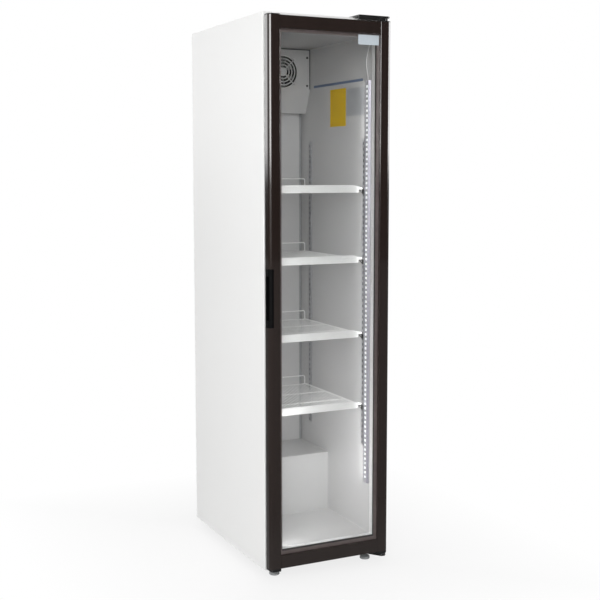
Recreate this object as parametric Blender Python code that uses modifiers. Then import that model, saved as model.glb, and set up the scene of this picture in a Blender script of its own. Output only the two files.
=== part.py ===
"""Upright display refrigerator with one hinged glass door, built piece by piece.

Metres, +Z up. The origin is on the floor under the middle of the whole outline, the door
faces -Y, and the door's hinge side is +X as seen by someone who stands before it.
"""

import math

import bmesh
import bpy
from mathutils import Matrix, Vector

# Cabinet
CABINET_WIDTH = 0.460
CABINET_DEPTH = 0.660
CABINET_HEIGHT = 1.880
SIDE_WALL = 0.040
BACK_WALL = 0.060
CEILING_WALL = 0.055
FLOOR_WALL = 0.067
SKIN = 0.0008
FRONT_FLANGE = 0.028
FRAME_SHEET = 0.0012
FRAME_LIP_DEPTH = 0.020
LINER = 0.0015
BASE_SHEET = 0.002

# Step in the floor over the machine compartment, from the cabinet's back and bottom
HUMP_DEPTH = 0.316
HUMP_TOP = 0.290
HUMP_WALL = 0.035

# Clearances and the one overrun of every cutter
FIT = 0.0003
OVERRUN = 0.004

# Levelling feet
FOOT_HEIGHT = 0.030
FOOT_PAD_RADIUS = 0.018
FOOT_PAD_HEIGHT = 0.010
FOOT_CHAMFER = 0.002
FOOT_STEM_RADIUS = 0.005
FOOT_NUT_RADIUS = 0.0098
FOOT_NUT_HEIGHT = 0.008
FOOT_SIDE_INSET = 0.050
FOOT_FRONT_INSET = 0.032
FOOT_BACK_INSET = 0.045

# Door frame, measured on the closed door
DOOR_FRAME_DEPTH = 0.035
GASKET_DEPTH = 0.010
DOOR_LIFT = 0.015
DOOR_DROP = 0.014
POST_WIDTH = 0.041
POST_RADIUS = 0.014
POST_BACK_RADIUS = 0.003
POST_WALL = 0.0025
TOP_RAIL_HEIGHT = 0.042
BOTTOM_RAIL_HEIGHT = 0.046
RAIL_SETBACK = 0.0006
TOP_CAP = 0.003
BOTTOM_CAP = 0.009
CAP_ROUND_WIDTH = 0.012
CAP_ROUND_HEIGHT = 0.008
CAP_SPIGOT = 0.016

# Double glazing
GLASS_RECESS = 0.011
PANE = 0.004
PANE_GAP = 0.010
GLASS_BITE = 0.012
SPACER_WIDTH = 0.016

# Door gasket
GASKET_WIDTH = 0.017
GASKET_OVERLAP = 0.002
GASKET_BASE = 0.003
GASKET_NECK_INSET = 0.004

# Door grip, from the cabinet's bottom
GRIP_BOTTOM = 0.844
GRIP_HEIGHT = 0.196
GRIP_FACE_WIDTH = 0.016
GRIP_SIDE_DEPTH = 0.0308
GRIP_SCOOP_HEIGHT = 0.150
GRIP_SCOOP_REACH = 0.021
GRIP_SCOOP_WIDTH = 0.018
GRIP_SCOOP_BEHIND_FRONT = 0.016
GRIP_SCOOP_ROUND = 0.006

# Hinges
HINGE_INSET = 0.015
HINGE_PLATE = 0.0045
HINGE_NOSE_RADIUS = 0.014
HINGE_PLATE_WIDTH = 0.080
HINGE_PLATE_START = 0.036
HINGE_BAR_WIDTH = 0.124
HINGE_BAR_GAP = 0.024
HINGE_PLATE_END = 0.075
PIN_RADIUS = 0.004
PIN_COLLAR_RADIUS = 0.008
PIN_REACH = 0.014

# Evaporator housing under the ceiling, at the back
COVER_DEPTH = 0.100
COVER_HEIGHT = 0.240
COVER_STRAIGHT = 0.151
COVER_TAPER = 0.040
COVER_SHEET = 0.0012
COVER_SLOT_DEPTH = 0.016
GRILLE_X = 0.074
GRILLE_DROP = 0.087
GRILLE_THICKNESS = 0.003
GRILLE_RIM_RADIUS = 0.062
GRILLE_FIRST_SLOT = 0.0165
GRILLE_SLOT = 0.0064
GRILLE_BAR = 0.0054
GRILLE_SPOKE = 0.004
GRILLE_SLOT_RINGS = 4
GRILLE_EAR_OFFSET = 0.0455
GRILLE_EAR_RADIUS = 0.0060

# Evaporator fan and coil
FAN_SIZE = 0.119
FAN_DEPTH = 0.025
FAN_BORE_RADIUS = 0.0565
FAN_CORNER_RADIUS = 0.008
FAN_TIP_CLEARANCE = 0.0025
FAN_HUB_RADIUS = 0.020
FAN_ROTOR_DEPTH = 0.014
FAN_STRUT = 0.005
FAN_SHAFT_RADIUS = 0.0025
FAN_BLADES = 7
FAN_BLADE_ROOT_SHARE = 0.85
FAN_BLADE_CHORD_SHARE = 0.72
FAN_BLADE_PITCH = 24.0
FAN_BORE_DEPTH_SHARE = 0.6
BLADE_THICKNESS = 0.0015
COIL_END_GAP = 0.020
COIL_DEPTH = 0.058
COIL_HEIGHT = 0.200
COIL_DROP = 0.012
COIL_GROOVE = 0.006
COIL_GROOVE_DEPTH = 0.046
COIL_GROOVES = 18

# Thermostat on the evaporator housing
KNOB_X = -0.110
KNOB_DROP = 0.100
KNOB_RADIUS = 0.0175
KNOB_DEPTH = 0.015
KNOB_POINTER = 0.004
KNOB_TOP_SHARE = 0.88
KNOB_RIM_SHARE = 0.8
KNOB_SHAFT_RADIUS = 0.003
KNOB_SHAFT_LENGTH = 0.010
THERMOSTAT_SIZE = 0.044
THERMOSTAT_DEPTH = 0.028

# Air duct panel on the back wall
DUCT_SIDE_GAP = 0.0105
DUCT_DEPTH = 0.025
DUCT_SHEET = 0.0015
DUCT_SLOT_LENGTH = 0.090
DUCT_SLOT_HEIGHT = 0.006
DUCT_SLOT_PITCH = 0.120
DUCT_SLOT_X = -0.025

# Slotted shelf pilasters on the side walls, from the cabinet's front, back wall and bottom
PILASTER_FRONT = 0.070
PILASTER_REAR = 0.107
PILASTER_WIDTH = 0.020
PILASTER_DEPTH = 0.005
PILASTER_SHEET = 0.0012
PILASTER_BOTTOM = 0.380
PILASTER_TOP_DROP = 0.348
PILASTER_PITCH = 0.0198
PILASTER_SLOT_WIDTH = 0.005
PILASTER_SLOT_HEIGHT = 0.010
CLIP_REACH = 0.014
CLIP_WIDTH = 0.011
CLIP_LEDGE = 0.003
CLIP_HEIGHT = 0.016

# Wire shelves; each hooks in at the half pitch nearest its share of the pilasters' length
SHELF_HEIGHT_SHARES = (0.848, 0.623, 0.379, 0.144)
SHELF_FIRST_SEAT = 0.004
SHELF_DROP = 0.011
SHELF_FRONT = 0.0725
SHELF_BACK_GAP = 0.094
SHELF_SIDE_GAP = 0.0125
SHELF_FRAME = 0.005
SHELF_STOP_SHARE = 0.75
SHELF_WIRE = 0.003
SHELF_WIRE_PITCH = 0.0245
SHELF_ROD_SHARES = (0.271, 0.629)
SHELF_STOP_HEIGHT = 0.033
SHELF_STOP_INSET = 0.007
STRIP_HEIGHT = 0.027
STRIP_THICKNESS = 0.002
STRIP_LIP_SHARE = 0.75
STRIP_RETURN = 0.006
STRIP_END_GAP = 0.010

# Light strip on the right wall, from the cabinet's front, bottom and ceiling
LED_FRONT = 0.027
LED_WIDTH = 0.029
LED_DEPTH = 0.008
LED_TAPER = 0.005
LED_BOTTOM = 0.248
LED_TOP_DROP = 0.149
LED_BOARD_WIDTH = 0.012
LED_BOARD_DEPTH = 0.002
LED_CABLE_RADIUS = 0.0015
LED_CABLE_BEND = 0.030
LED_CABLE_DROP_SHARES = (0.12, 0.38, 0.62, 0.88)

# Machine compartment
REAR_COVER_SHEET = 0.001
REAR_COVER_RECESS = 0.004
REAR_COVER_FLANGE = 0.014
LOUVRE_LENGTH = 0.170
LOUVRE_HEIGHT = 0.006
LOUVRE_PITCH = 0.020
LOUVRE_ROWS = 8
LOUVRE_X = 0.105
COMPRESSOR_SIDE_INSET = 0.115
COMPRESSOR_BACK_INSET = 0.160
COMPRESSOR_RADIUS = 0.070
COMPRESSOR_HEIGHT = 0.160
COMPRESSOR_SEAM = 0.004
COMPRESSOR_PLATE = 0.003
COMPRESSOR_PLATE_HALF = 0.078
COMPRESSOR_PLATE_DEPTH_SHARE = 0.72
COMPRESSOR_DOME_SHARE = 0.45
COMPRESSOR_SEAM_SHARE = 0.52
COMPRESSOR_LOWER_SHARES = (0.96, 0.7)
COMPRESSOR_BOWL_SHARE = 0.6
GROMMET_INSET_SHARE = 1.2
GROMMET_HEIGHT = 0.012
GROMMET_RADIUS = 0.011
TERMINAL_SIZE = 0.040
TERMINAL_DEPTH = 0.022
TERMINAL_HEIGHT_SHARE = 0.25
TERMINAL_ROOT_SHARE = 0.85
CONDENSER_SIDE_GAP = 0.020
CONDENSER_WIDTH = 0.190
CONDENSER_DEPTH = 0.045
CONDENSER_HEIGHT = 0.200
CONDENSER_BACK_GAP = 0.016
CONDENSER_GROOVE = 0.006
CONDENSER_GROOVE_DEPTH = 0.036
CONDENSER_GROOVES = 11
STUB_RADIUS = 0.004
STUB_LENGTH = 0.010
CONDENSER_FAN_RADIUS = 0.085
CONDENSER_FAN_HUB = 0.026
CONDENSER_FAN_DEPTH = 0.018
CONDENSER_FAN_GAP = 0.012
CONDENSER_FAN_BLADES = 5
CONDENSER_FAN_CHORD_SHARE = 0.62
CONDENSER_FAN_PITCH = 12.0
CONDENSER_HUB_CHAMFER_SHARE = 0.85
MOTOR_RADIUS = 0.033
MOTOR_LENGTH = 0.052
MOTOR_SHAFT_LENGTH = 0.014
MOTOR_BRACKET_WIDTH = 0.040
MOTOR_BRACKET_DEPTH = 0.024
MOTOR_CHAMFER_SHARE = 0.1
MOTOR_BRACKET_TOP_SHARE = 0.7
PIPE_RADIUS = 0.003
DISCHARGE_REACH_SHARE = 0.85
DISCHARGE_HEIGHT_SHARE = 0.7
GLAND_X = 0.020
GLAND_Z = 0.024
GLAND_NECK_RADIUS = 0.0085
GLAND_FLANGE_RADIUS = 0.012
GLAND_FLANGE = 0.003
GLAND_NECK_LENGTH = 0.012
GLAND_BORE_RADIUS = 0.004

# Places that follow from those sizes
HALF_WIDTH = CABINET_WIDTH / 2
DOOR_DEPTH = DOOR_FRAME_DEPTH + GASKET_DEPTH
DOOR_FRONT = -(CABINET_DEPTH + DOOR_DEPTH) / 2
DOOR_BACK = DOOR_FRONT + DOOR_FRAME_DEPTH
FRONT = DOOR_FRONT + DOOR_DEPTH
BACK = FRONT + CABINET_DEPTH
BOTTOM = FOOT_HEIGHT
TOP = BOTTOM + CABINET_HEIGHT
INNER_HALF = HALF_WIDTH - SIDE_WALL
FLOOR = BOTTOM + FLOOR_WALL
CEILING = TOP - CEILING_WALL
INNER_BACK = BACK - BACK_WALL
HUMP_Y = BACK - HUMP_DEPTH
HUMP_Z = BOTTOM + HUMP_TOP
ROOM_Y = HUMP_Y + HUMP_WALL
ROOM_Z = HUMP_Z - HUMP_WALL
SHELL_HALF = HALF_WIDTH - SKIN - FIT
FLANGE_HALF = HALF_WIDTH - FRONT_FLANGE - FIT
BEHIND_FRONT = FRONT + max(SKIN, FRAME_SHEET) + FIT
ON_BASE = BOTTOM + BASE_SHEET + FIT

DOOR_BOTTOM = BOTTOM + DOOR_LIFT
DOOR_TOP = TOP - DOOR_DROP
GLASS_HALF = HALF_WIDTH - POST_WIDTH + GLASS_BITE
GLASS_BOTTOM = DOOR_BOTTOM + BOTTOM_RAIL_HEIGHT - GLASS_BITE
GLASS_TOP = DOOR_TOP - TOP_RAIL_HEIGHT + GLASS_BITE
GLASS_FRONT = DOOR_FRONT + GLASS_RECESS
GLASS_BACK = GLASS_FRONT + 2 * PANE + PANE_GAP
HINGE_X = HALF_WIDTH - HINGE_INSET
HINGE_Y = DOOR_FRONT + DOOR_FRAME_DEPTH / 2

COVER_Y = INNER_BACK - COVER_DEPTH
COVER_Z = CEILING - COVER_HEIGHT
COVER_BACK_FACE = COVER_Y + COVER_SHEET + FIT
GRILLE_Z = CEILING - GRILLE_DROP
KNOB_Z = CEILING - KNOB_DROP
COIL_HALF_WIDTH = INNER_HALF - COIL_END_GAP
DUCT_HALF_WIDTH = INNER_HALF - DUCT_SIDE_GAP
DUCT_Y = INNER_BACK - DUCT_DEPTH

SHELF_HALF = INNER_HALF - SHELF_SIDE_GAP
PILASTER_FACE = INNER_HALF - FIT - PILASTER_DEPTH
PILASTER_FOOT = BOTTOM + PILASTER_BOTTOM
PILASTER_TOP = CEILING - PILASTER_TOP_DROP
PILASTER_REAR_Y = INNER_BACK - PILASTER_REAR
SHELF_FRONT_Y = FRONT + SHELF_FRONT
SHELF_BACK_Y = INNER_BACK - SHELF_BACK_GAP
PILASTER_HALF_PITCHES = (PILASTER_TOP - PILASTER_FOOT) / (PILASTER_PITCH / 2)
SHELF_LEVELS = [
    PILASTER_FOOT + SHELF_FIRST_SEAT + round(share * PILASTER_HALF_PITCHES) * PILASTER_PITCH / 2
    for share in SHELF_HEIGHT_SHARES
]

CONDENSER_X = -HALF_WIDTH + CONDENSER_SIDE_GAP + CONDENSER_WIDTH / 2
CONDENSER_BACK = BACK - REAR_COVER_RECESS - REAR_COVER_SHEET - CONDENSER_BACK_GAP
CONDENSER_FRONT = CONDENSER_BACK - CONDENSER_DEPTH
CONDENSER_FAN_BACK = CONDENSER_FRONT - CONDENSER_FAN_GAP
CONDENSER_FAN_FRONT = CONDENSER_FAN_BACK - CONDENSER_FAN_DEPTH
CONDENSER_FAN_Z = ON_BASE + CONDENSER_HEIGHT / 2
COMPRESSOR_X = HALF_WIDTH - COMPRESSOR_SIDE_INSET
COMPRESSOR_CENTRE_Y = BACK - COMPRESSOR_BACK_INSET
COMPRESSOR_BASE_Z = ON_BASE + GROMMET_HEIGHT
DISCHARGE_X = COMPRESSOR_X - COMPRESSOR_RADIUS / 2
DISCHARGE_Y = COMPRESSOR_CENTRE_Y + COMPRESSOR_RADIUS * DISCHARGE_REACH_SHARE + STUB_LENGTH
DISCHARGE_Z = COMPRESSOR_BASE_Z + COMPRESSOR_HEIGHT * DISCHARGE_HEIGHT_SHARE

# Segments of round pieces
FINE_STEPS = 32
ROUND_STEPS = 20
SMALL_STEPS = 12

# Finishes: colour, roughness, metallic
FINISHES = {
    "white_painted_steel": ((0.90, 0.90, 0.89), 0.35, 0.0),
    "white_liner": ((0.80, 0.80, 0.79), 0.35, 0.0),
    "dark_brown_profile": ((0.035, 0.022, 0.018), 0.22, 0.0),
    "black_plastic": ((0.012, 0.012, 0.012), 0.45, 0.0),
    "black_steel": ((0.015, 0.015, 0.015), 0.30, 0.5),
    "clear_glass": ((0.93, 0.96, 0.95), 0.03, 0.0),
    "spacer_aluminium": ((0.42, 0.38, 0.36), 0.40, 1.0),
    "grey_rubber": ((0.05, 0.045, 0.042), 0.70, 0.0),
    "zinc_steel": ((0.60, 0.60, 0.60), 0.40, 1.0),
    "white_wire": ((0.86, 0.86, 0.84), 0.40, 0.0),
    "white_plastic": ((0.88, 0.88, 0.86), 0.45, 0.0),
    "grey_plastic": ((0.45, 0.46, 0.47), 0.50, 0.0),
    "light_strip": ((0.95, 0.96, 1.00), 0.30, 0.0),
    "foam": ((0.85, 0.78, 0.55), 0.90, 0.0),
    "aluminium": ((0.70, 0.71, 0.72), 0.35, 1.0),
    "copper": ((0.72, 0.38, 0.24), 0.30, 1.0),
    "machine_black": ((0.02, 0.02, 0.022), 0.40, 0.2),
}


def clear_scene():
    for old in list(bpy.data.objects):
        bpy.data.objects.remove(old, do_unlink=True)


def new_collection(name):
    group = bpy.data.collections.new(name)
    bpy.context.scene.collection.children.link(group)
    return group


clear_scene()
PARTS = new_collection("display_refrigerator")
CUTTERS = new_collection("cutters")


def finish(name):
    """Return the finish's material, made once."""
    found = bpy.data.materials.get(name)
    if found:
        return found
    colour, roughness, metallic = FINISHES[name]
    made = bpy.data.materials.new(name)
    made.use_nodes = True
    shader = made.node_tree.nodes["Principled BSDF"]
    shader.inputs["Base Color"].default_value = (*colour, 1.0)
    shader.inputs["Roughness"].default_value = roughness
    shader.inputs["Metallic"].default_value = metallic
    if name == "clear_glass":
        shader.inputs["Transmission Weight"].default_value = 1.0
    return made


def part(obj, look):
    """Name a finished piece's finish, and list it with the parts."""
    obj.data.materials.clear()
    obj.data.materials.append(finish(look))
    PARTS.objects.link(obj)
    CUTTERS.objects.unlink(obj)
    obj.hide_render = False
    obj.display_type = "TEXTURED"
    return obj


def from_bmesh(name, bm):
    """Make an object of a bmesh; it counts as a cutter until part() lists it."""
    mesh = bpy.data.meshes.new(name)
    bm.to_mesh(mesh)
    bm.free()
    return from_mesh(name, mesh)


def from_mesh(name, mesh):
    obj = bpy.data.objects.new(name, mesh)
    CUTTERS.objects.link(obj)
    obj.hide_render = True
    obj.display_type = "WIRE"
    return obj


def blocks(name, corners):
    """One mesh of boxes, each from its low corner to its high corner."""
    bm = bmesh.new()
    for low, high in corners:
        low, high = Vector(low), Vector(high)
        made = bmesh.ops.create_cube(bm, size=1.0)
        size = high - low
        place = Matrix.Translation((low + high) / 2) @ Matrix.Diagonal((*size, 1.0))
        bmesh.ops.transform(bm, matrix=place, verts=made["verts"])
    return from_bmesh(name, bm)


def block(name, low, high):
    return blocks(name, [(low, high)])


def rod(name, start, end, radius, sides=SMALL_STEPS):
    """A round bar between two points."""
    start, end = Vector(start), Vector(end)
    along = end - start
    turn = Vector((0, 0, 1)).rotation_difference(along).to_matrix().to_4x4()
    bm = bmesh.new()
    bmesh.ops.create_cone(
        bm, cap_ends=True, segments=sides, radius1=radius, radius2=radius,
        depth=along.length, matrix=Matrix.Translation((start + end) / 2) @ turn,
    )
    return from_bmesh(name, bm)


# Columns are the world axes that an outline's own two axes and its thickness follow
PLANES = {
    "XY": Matrix(((1, 0, 0), (0, 1, 0), (0, 0, 1))),
    "YZ": Matrix(((0, 0, 1), (1, 0, 0), (0, 1, 0))),
    "XZ": Matrix(((1, 0, 0), (0, 0, -1), (0, 1, 0))),
}


def plate(name, plane, start, end, outline, *holes):
    """A flat outline, with holes, from start to end across its plane."""
    curve = bpy.data.curves.new(name + "_outline", "CURVE")
    curve.dimensions = "2D"
    curve.fill_mode = "BOTH"
    curve.extrude = (end - start) / 2
    for loop in (outline, *holes):
        spline = curve.splines.new("POLY")
        spline.points.add(len(loop) - 1)
        for point, (u, v) in zip(spline.points, loop):
            point.co = (u, v, 0.0, 1.0)
        spline.use_cyclic_u = True
    across = PLANES[plane].col[2] * ((start + end) / 2)
    if plane == "XZ":
        across = -across
    guide = bpy.data.objects.new(name + "_outline", curve)
    CUTTERS.objects.link(guide)
    guide.matrix_world = Matrix.Translation(across) @ PLANES[plane].to_4x4()
    bpy.context.view_layer.update()
    place = guide.matrix_world.copy()
    solid = bpy.data.meshes.new_from_object(guide.evaluated_get(bpy.context.evaluated_depsgraph_get()))
    bpy.data.objects.remove(guide)
    bm = bmesh.new()
    bm.from_mesh(solid)
    bpy.data.meshes.remove(solid)
    bmesh.ops.remove_doubles(bm, verts=bm.verts, dist=0.00001)
    bmesh.ops.transform(bm, matrix=place, verts=bm.verts)
    bmesh.ops.recalc_face_normals(bm, faces=bm.faces)
    for face in bm.faces:
        face.smooth = False
    return from_bmesh(name, bm)


def arc(centre, radius, first, last, steps):
    """Points on an arc, angles in degrees, both ends included."""
    points = []
    for i in range(steps + 1):
        angle = math.radians(first + (last - first) * i / steps)
        points.append((centre[0] + radius * math.cos(angle), centre[1] + radius * math.sin(angle)))
    return points


def circle(centre, radius, steps):
    return arc(centre, radius, 0, 360, steps)[:-1]


def turned(name, profile, centre, axis="Z", steps=ROUND_STEPS):
    """Turn a profile of (radius, height) points, top to bottom, about an axis at centre."""
    mesh = bpy.data.meshes.new(name)
    mesh.from_pydata([(r, 0.0, h) for r, h in profile], [(i, i + 1) for i in range(len(profile) - 1)], [])
    obj = from_mesh(name, mesh)
    screw = obj.modifiers.new("turn", "SCREW")
    screw.steps = steps
    screw.render_steps = steps
    screw.use_merge_vertices = True
    screw.merge_threshold = 0.00001
    obj.location = centre
    if axis == "-Y":
        obj.rotation_euler = (math.radians(90), 0.0, 0.0)
    if axis == "Y":
        obj.rotation_euler = (math.radians(-90), 0.0, 0.0)
    return obj


def boolean(obj, other, operation):
    step = obj.modifiers.new(other.name, "BOOLEAN")
    step.operation = operation
    step.object = other
    return obj


def cut(obj, other):
    return boolean(obj, other, "DIFFERENCE")


def join(obj, other):
    return boolean(obj, other, "UNION")


def round_edges(obj, width, segments, angle=30.0):
    bevel = obj.modifiers.new("round", "BEVEL")
    bevel.width = width
    bevel.segments = segments
    bevel.limit_method = "ANGLE"
    bevel.angle_limit = math.radians(angle)
    return obj


def shade_round(obj):
    """Shade round faces smooth, with sharp edges kept."""
    obj.data.shade_smooth()
    obj.data.set_sharp_from_angle(angle=math.radians(35))
    return obj


def ring(name, half, low, high, width, front, back):
    """A rectangular ring in the XZ plane, given by its outer edges and its width."""
    outer = block(name, (-half, front, low), (half, back, high))
    hole = block(
        name + "_hole",
        (-half + width, front - OVERRUN, low + width),
        (half - width, back + OVERRUN, high - width),
    )
    return cut(outer, hole)


# Cabinet shell


def side_panel(name, side):
    outer = side * HALF_WIDTH
    inner = side * (HALF_WIDTH - SKIN)
    flange = side * (HALF_WIDTH - FRONT_FLANGE)
    outline = [
        (outer, FRONT), (flange, FRONT), (flange, FRONT + SKIN),
        (inner, FRONT + SKIN), (inner, BACK), (outer, BACK),
    ]
    part(plate(name, "XY", BOTTOM, TOP, outline), "white_painted_steel")


def top_panel():
    outline = [
        (FRONT, TOP), (FRONT, TOP - FRONT_FLANGE), (FRONT + SKIN, TOP - FRONT_FLANGE),
        (FRONT + SKIN, TOP - SKIN), (BACK, TOP - SKIN), (BACK, TOP),
    ]
    panel = plate("top_panel", "YZ", -FLANGE_HALF, FLANGE_HALF, outline)
    wings = block(
        "top_wings",
        (-SHELL_HALF, FRONT + SKIN + FIT, TOP - SKIN),
        (SHELL_HALF, BACK, TOP),
    )
    part(join(panel, wings), "white_painted_steel")


def front_frame():
    """The face that the gasket lands on, with a lip that covers the liner's front edge."""
    frame = block(
        "front_frame",
        (-FLANGE_HALF, FRONT, BOTTOM),
        (FLANGE_HALF, FRONT + FRAME_SHEET, TOP - FRONT_FLANGE - FIT),
    )
    lip = block(
        "frame_lip",
        (-INNER_HALF + FIT, FRONT, FLOOR + FIT),
        (INNER_HALF - FIT, FRONT + FRAME_LIP_DEPTH, CEILING - FIT),
    )
    inset = FIT + FRAME_SHEET
    opening = block(
        "frame_opening",
        (-INNER_HALF + inset, FRONT - OVERRUN, FLOOR + inset),
        (INNER_HALF - inset, FRONT + FRAME_LIP_DEPTH + OVERRUN, CEILING - inset),
    )
    part(cut(join(frame, lip), opening), "white_painted_steel")


def foot_places():
    places = {}
    for side_name, side in (("left", -1), ("right", 1)):
        x = side * (HALF_WIDTH - FOOT_SIDE_INSET)
        places["foot_front_" + side_name] = (x, FRONT + FOOT_FRONT_INSET)
        places["foot_rear_" + side_name] = (x, BACK - FOOT_BACK_INSET)
    return places


def base_plate():
    """Bottom sheet with a welded nut for each foot and air slots under the condenser."""
    base = block(
        "base_plate", (-SHELL_HALF, BEHIND_FRONT, BOTTOM), (SHELL_HALF, BACK, BOTTOM + BASE_SHEET)
    )
    hole_radius = FOOT_STEM_RADIUS + FIT
    for name, (x, y) in foot_places().items():
        nut = rod(
            name + "_nut", (x, y, BOTTOM - FOOT_NUT_HEIGHT), (x, y, BOTTOM + BASE_SHEET / 2),
            FOOT_NUT_RADIUS, 6,
        )
        join(base, nut)
        hole = rod(
            name + "_hole", (x, y, BOTTOM - FOOT_NUT_HEIGHT - OVERRUN),
            (x, y, BOTTOM + BASE_SHEET + OVERRUN), hole_radius,
        )
        cut(base, hole)
    slots = []
    slot_back = CONDENSER_FAN_FRONT - MOTOR_SHAFT_LENGTH - MOTOR_LENGTH
    for i in range(4):
        y = slot_back - i * LOUVRE_PITCH
        slots.append((
            (CONDENSER_X - LOUVRE_LENGTH / 2, y - LOUVRE_HEIGHT, BOTTOM - OVERRUN),
            (CONDENSER_X + LOUVRE_LENGTH / 2, y, BOTTOM + BASE_SHEET + OVERRUN),
        ))
    part(cut(base, blocks("base_slots", slots)), "zinc_steel")


def feet():
    top = BOTTOM + BASE_SHEET - FIT
    for name, (x, y) in foot_places().items():
        profile = [
            (0.0, top), (FOOT_STEM_RADIUS, top), (FOOT_STEM_RADIUS, FOOT_PAD_HEIGHT),
            (FOOT_PAD_RADIUS - FOOT_CHAMFER, FOOT_PAD_HEIGHT),
            (FOOT_PAD_RADIUS, FOOT_PAD_HEIGHT - FOOT_CHAMFER),
            (FOOT_PAD_RADIUS, 0.0), (0.0, 0.0),
        ]
        part(shade_round(turned(name, profile, (x, y, 0.0), steps=16)), "grey_plastic")


def cavity(name, offset, front):
    """The cold space's stepped outline, moved out by an offset, from front to the back wall."""
    outline = [
        (front, FLOOR - offset), (HUMP_Y + offset, FLOOR - offset),
        (HUMP_Y + offset, HUMP_Z - offset), (INNER_BACK + offset, HUMP_Z - offset),
        (INNER_BACK + offset, CEILING + offset), (front, CEILING + offset),
    ]
    return plate(name, "YZ", -INNER_HALF - offset, INNER_HALF + offset, outline)


def insulation_foam():
    foam = block(
        "insulation_foam",
        (-SHELL_HALF, BEHIND_FRONT, ON_BASE),
        (SHELL_HALF, BACK - SKIN - FIT, TOP - SKIN - FIT),
    )
    cut(foam, cavity("foam_cavity", LINER + FIT, FRONT - OVERRUN))
    room = block(
        "machine_room",
        (-HALF_WIDTH - OVERRUN, ROOM_Y, BOTTOM - OVERRUN),
        (HALF_WIDTH + OVERRUN, BACK + OVERRUN, ROOM_Z),
    )
    part(cut(foam, room), "foam")


def inner_liner():
    liner = cavity("inner_liner", LINER, BEHIND_FRONT)
    part(cut(liner, cavity("liner_inside", 0.0, FRONT - OVERRUN)), "white_liner")


def back_panel():
    panel = block(
        "back_panel", (-SHELL_HALF, BACK - SKIN, ROOM_Z), (SHELL_HALF, BACK, TOP - SKIN - FIT)
    )
    part(panel, "white_painted_steel")


# Air circulation


def evaporator_cover():
    """Sheet housing that hangs under the ceiling; its lower front slopes back."""
    half = INNER_HALF - FIT
    top = CEILING - FIT
    back = INNER_BACK - FIT
    straight = CEILING - COVER_STRAIGHT
    outline = [
        (COVER_Y, top), (COVER_Y, straight), (COVER_Y + COVER_TAPER, COVER_Z),
        (back, COVER_Z), (back, top),
    ]
    cover = plate("evaporator_cover", "YZ", -half, half, outline)
    # Inside faces lie one sheet thickness in, measured square to the slope
    slope = math.atan2(COVER_TAPER, straight - COVER_Z)
    bend_drop = COVER_SHEET * math.tan(slope / 2)
    foot_run = COVER_SHEET / math.cos(slope) - COVER_SHEET * math.tan(slope)
    inside = [
        (COVER_Y + COVER_SHEET, top + OVERRUN), (COVER_Y + COVER_SHEET, straight + bend_drop),
        (COVER_Y + COVER_TAPER + foot_run, COVER_Z + COVER_SHEET),
        (back + OVERRUN, COVER_Z + COVER_SHEET), (back + OVERRUN, top + OVERRUN),
    ]
    hollow = plate("cover_inside", "YZ", -half + COVER_SHEET, half - COVER_SHEET, inside)
    cut(cover, hollow)
    window = rod(
        "cover_window", (GRILLE_X, COVER_Y - OVERRUN, GRILLE_Z),
        (GRILLE_X, COVER_BACK_FACE + OVERRUN, GRILLE_Z), GRILLE_RIM_RADIUS - GRILLE_THICKNESS, FINE_STEPS,
    )
    cut(cover, window)
    shaft_hole = rod(
        "shaft_hole", (KNOB_X, COVER_Y - OVERRUN, KNOB_Z),
        (KNOB_X, COVER_BACK_FACE + OVERRUN, KNOB_Z), KNOB_SHAFT_RADIUS + 2 * FIT,
    )
    cut(cover, shaft_hole)
    outlet = block(
        "duct_inlet",
        (-DUCT_HALF_WIDTH + COVER_SLOT_DEPTH, back - FIT - COVER_SLOT_DEPTH, COVER_Z - OVERRUN),
        (DUCT_HALF_WIDTH - COVER_SLOT_DEPTH, back - DUCT_SHEET, COVER_Z + COVER_SHEET + OVERRUN),
    )
    part(cut(cover, outlet), "white_liner")


def fan_grille():
    """Finger guard of concentric bars held by four spokes, with a screw ear at each corner."""
    ears = []
    ear_angle = 45.0
    reach = GRILLE_EAR_OFFSET * math.sqrt(2)
    # Where the ear's circle leaves the rim's circle, seen from each centre
    rim_turn = math.degrees(math.acos(
        (reach ** 2 + GRILLE_RIM_RADIUS ** 2 - GRILLE_EAR_RADIUS ** 2) / (2 * reach * GRILLE_RIM_RADIUS)
    ))
    ear_turn = 180.0 - math.degrees(math.acos(
        (reach ** 2 + GRILLE_EAR_RADIUS ** 2 - GRILLE_RIM_RADIUS ** 2) / (2 * reach * GRILLE_EAR_RADIUS)
    ))
    for quarter in range(4):
        middle = ear_angle + 90 * quarter
        centre = (
            GRILLE_X + reach * math.cos(math.radians(middle)),
            GRILLE_Z + reach * math.sin(math.radians(middle)),
        )
        ears += arc(centre, GRILLE_EAR_RADIUS, middle - ear_turn, middle + ear_turn, 6)
        rim = arc(
            (GRILLE_X, GRILLE_Z), GRILLE_RIM_RADIUS, middle + rim_turn, middle + 90 - rim_turn, 6
        )
        ears += rim[1:-1]
    holes = []
    for i in range(GRILLE_SLOT_RINGS):
        inner = GRILLE_FIRST_SLOT + i * (GRILLE_SLOT + GRILLE_BAR)
        outer = inner + GRILLE_SLOT
        inner_turn = math.degrees(math.asin(GRILLE_SPOKE / 2 / inner))
        outer_turn = math.degrees(math.asin(GRILLE_SPOKE / 2 / outer))
        steps = 3 + i
        for quarter in range(4):
            first = ear_angle + 90 * quarter
            last = first + 90
            centre = (GRILLE_X, GRILLE_Z)
            loop = arc(centre, outer, first + outer_turn, last - outer_turn, steps)
            loop += arc(centre, inner, last - inner_turn, first + inner_turn, steps)
            holes.append(loop)
    back = COVER_Y - FIT
    grille = plate("fan_grille", "XZ", back - GRILLE_THICKNESS, back, ears, *holes)
    part(grille, "white_plastic")


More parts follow.
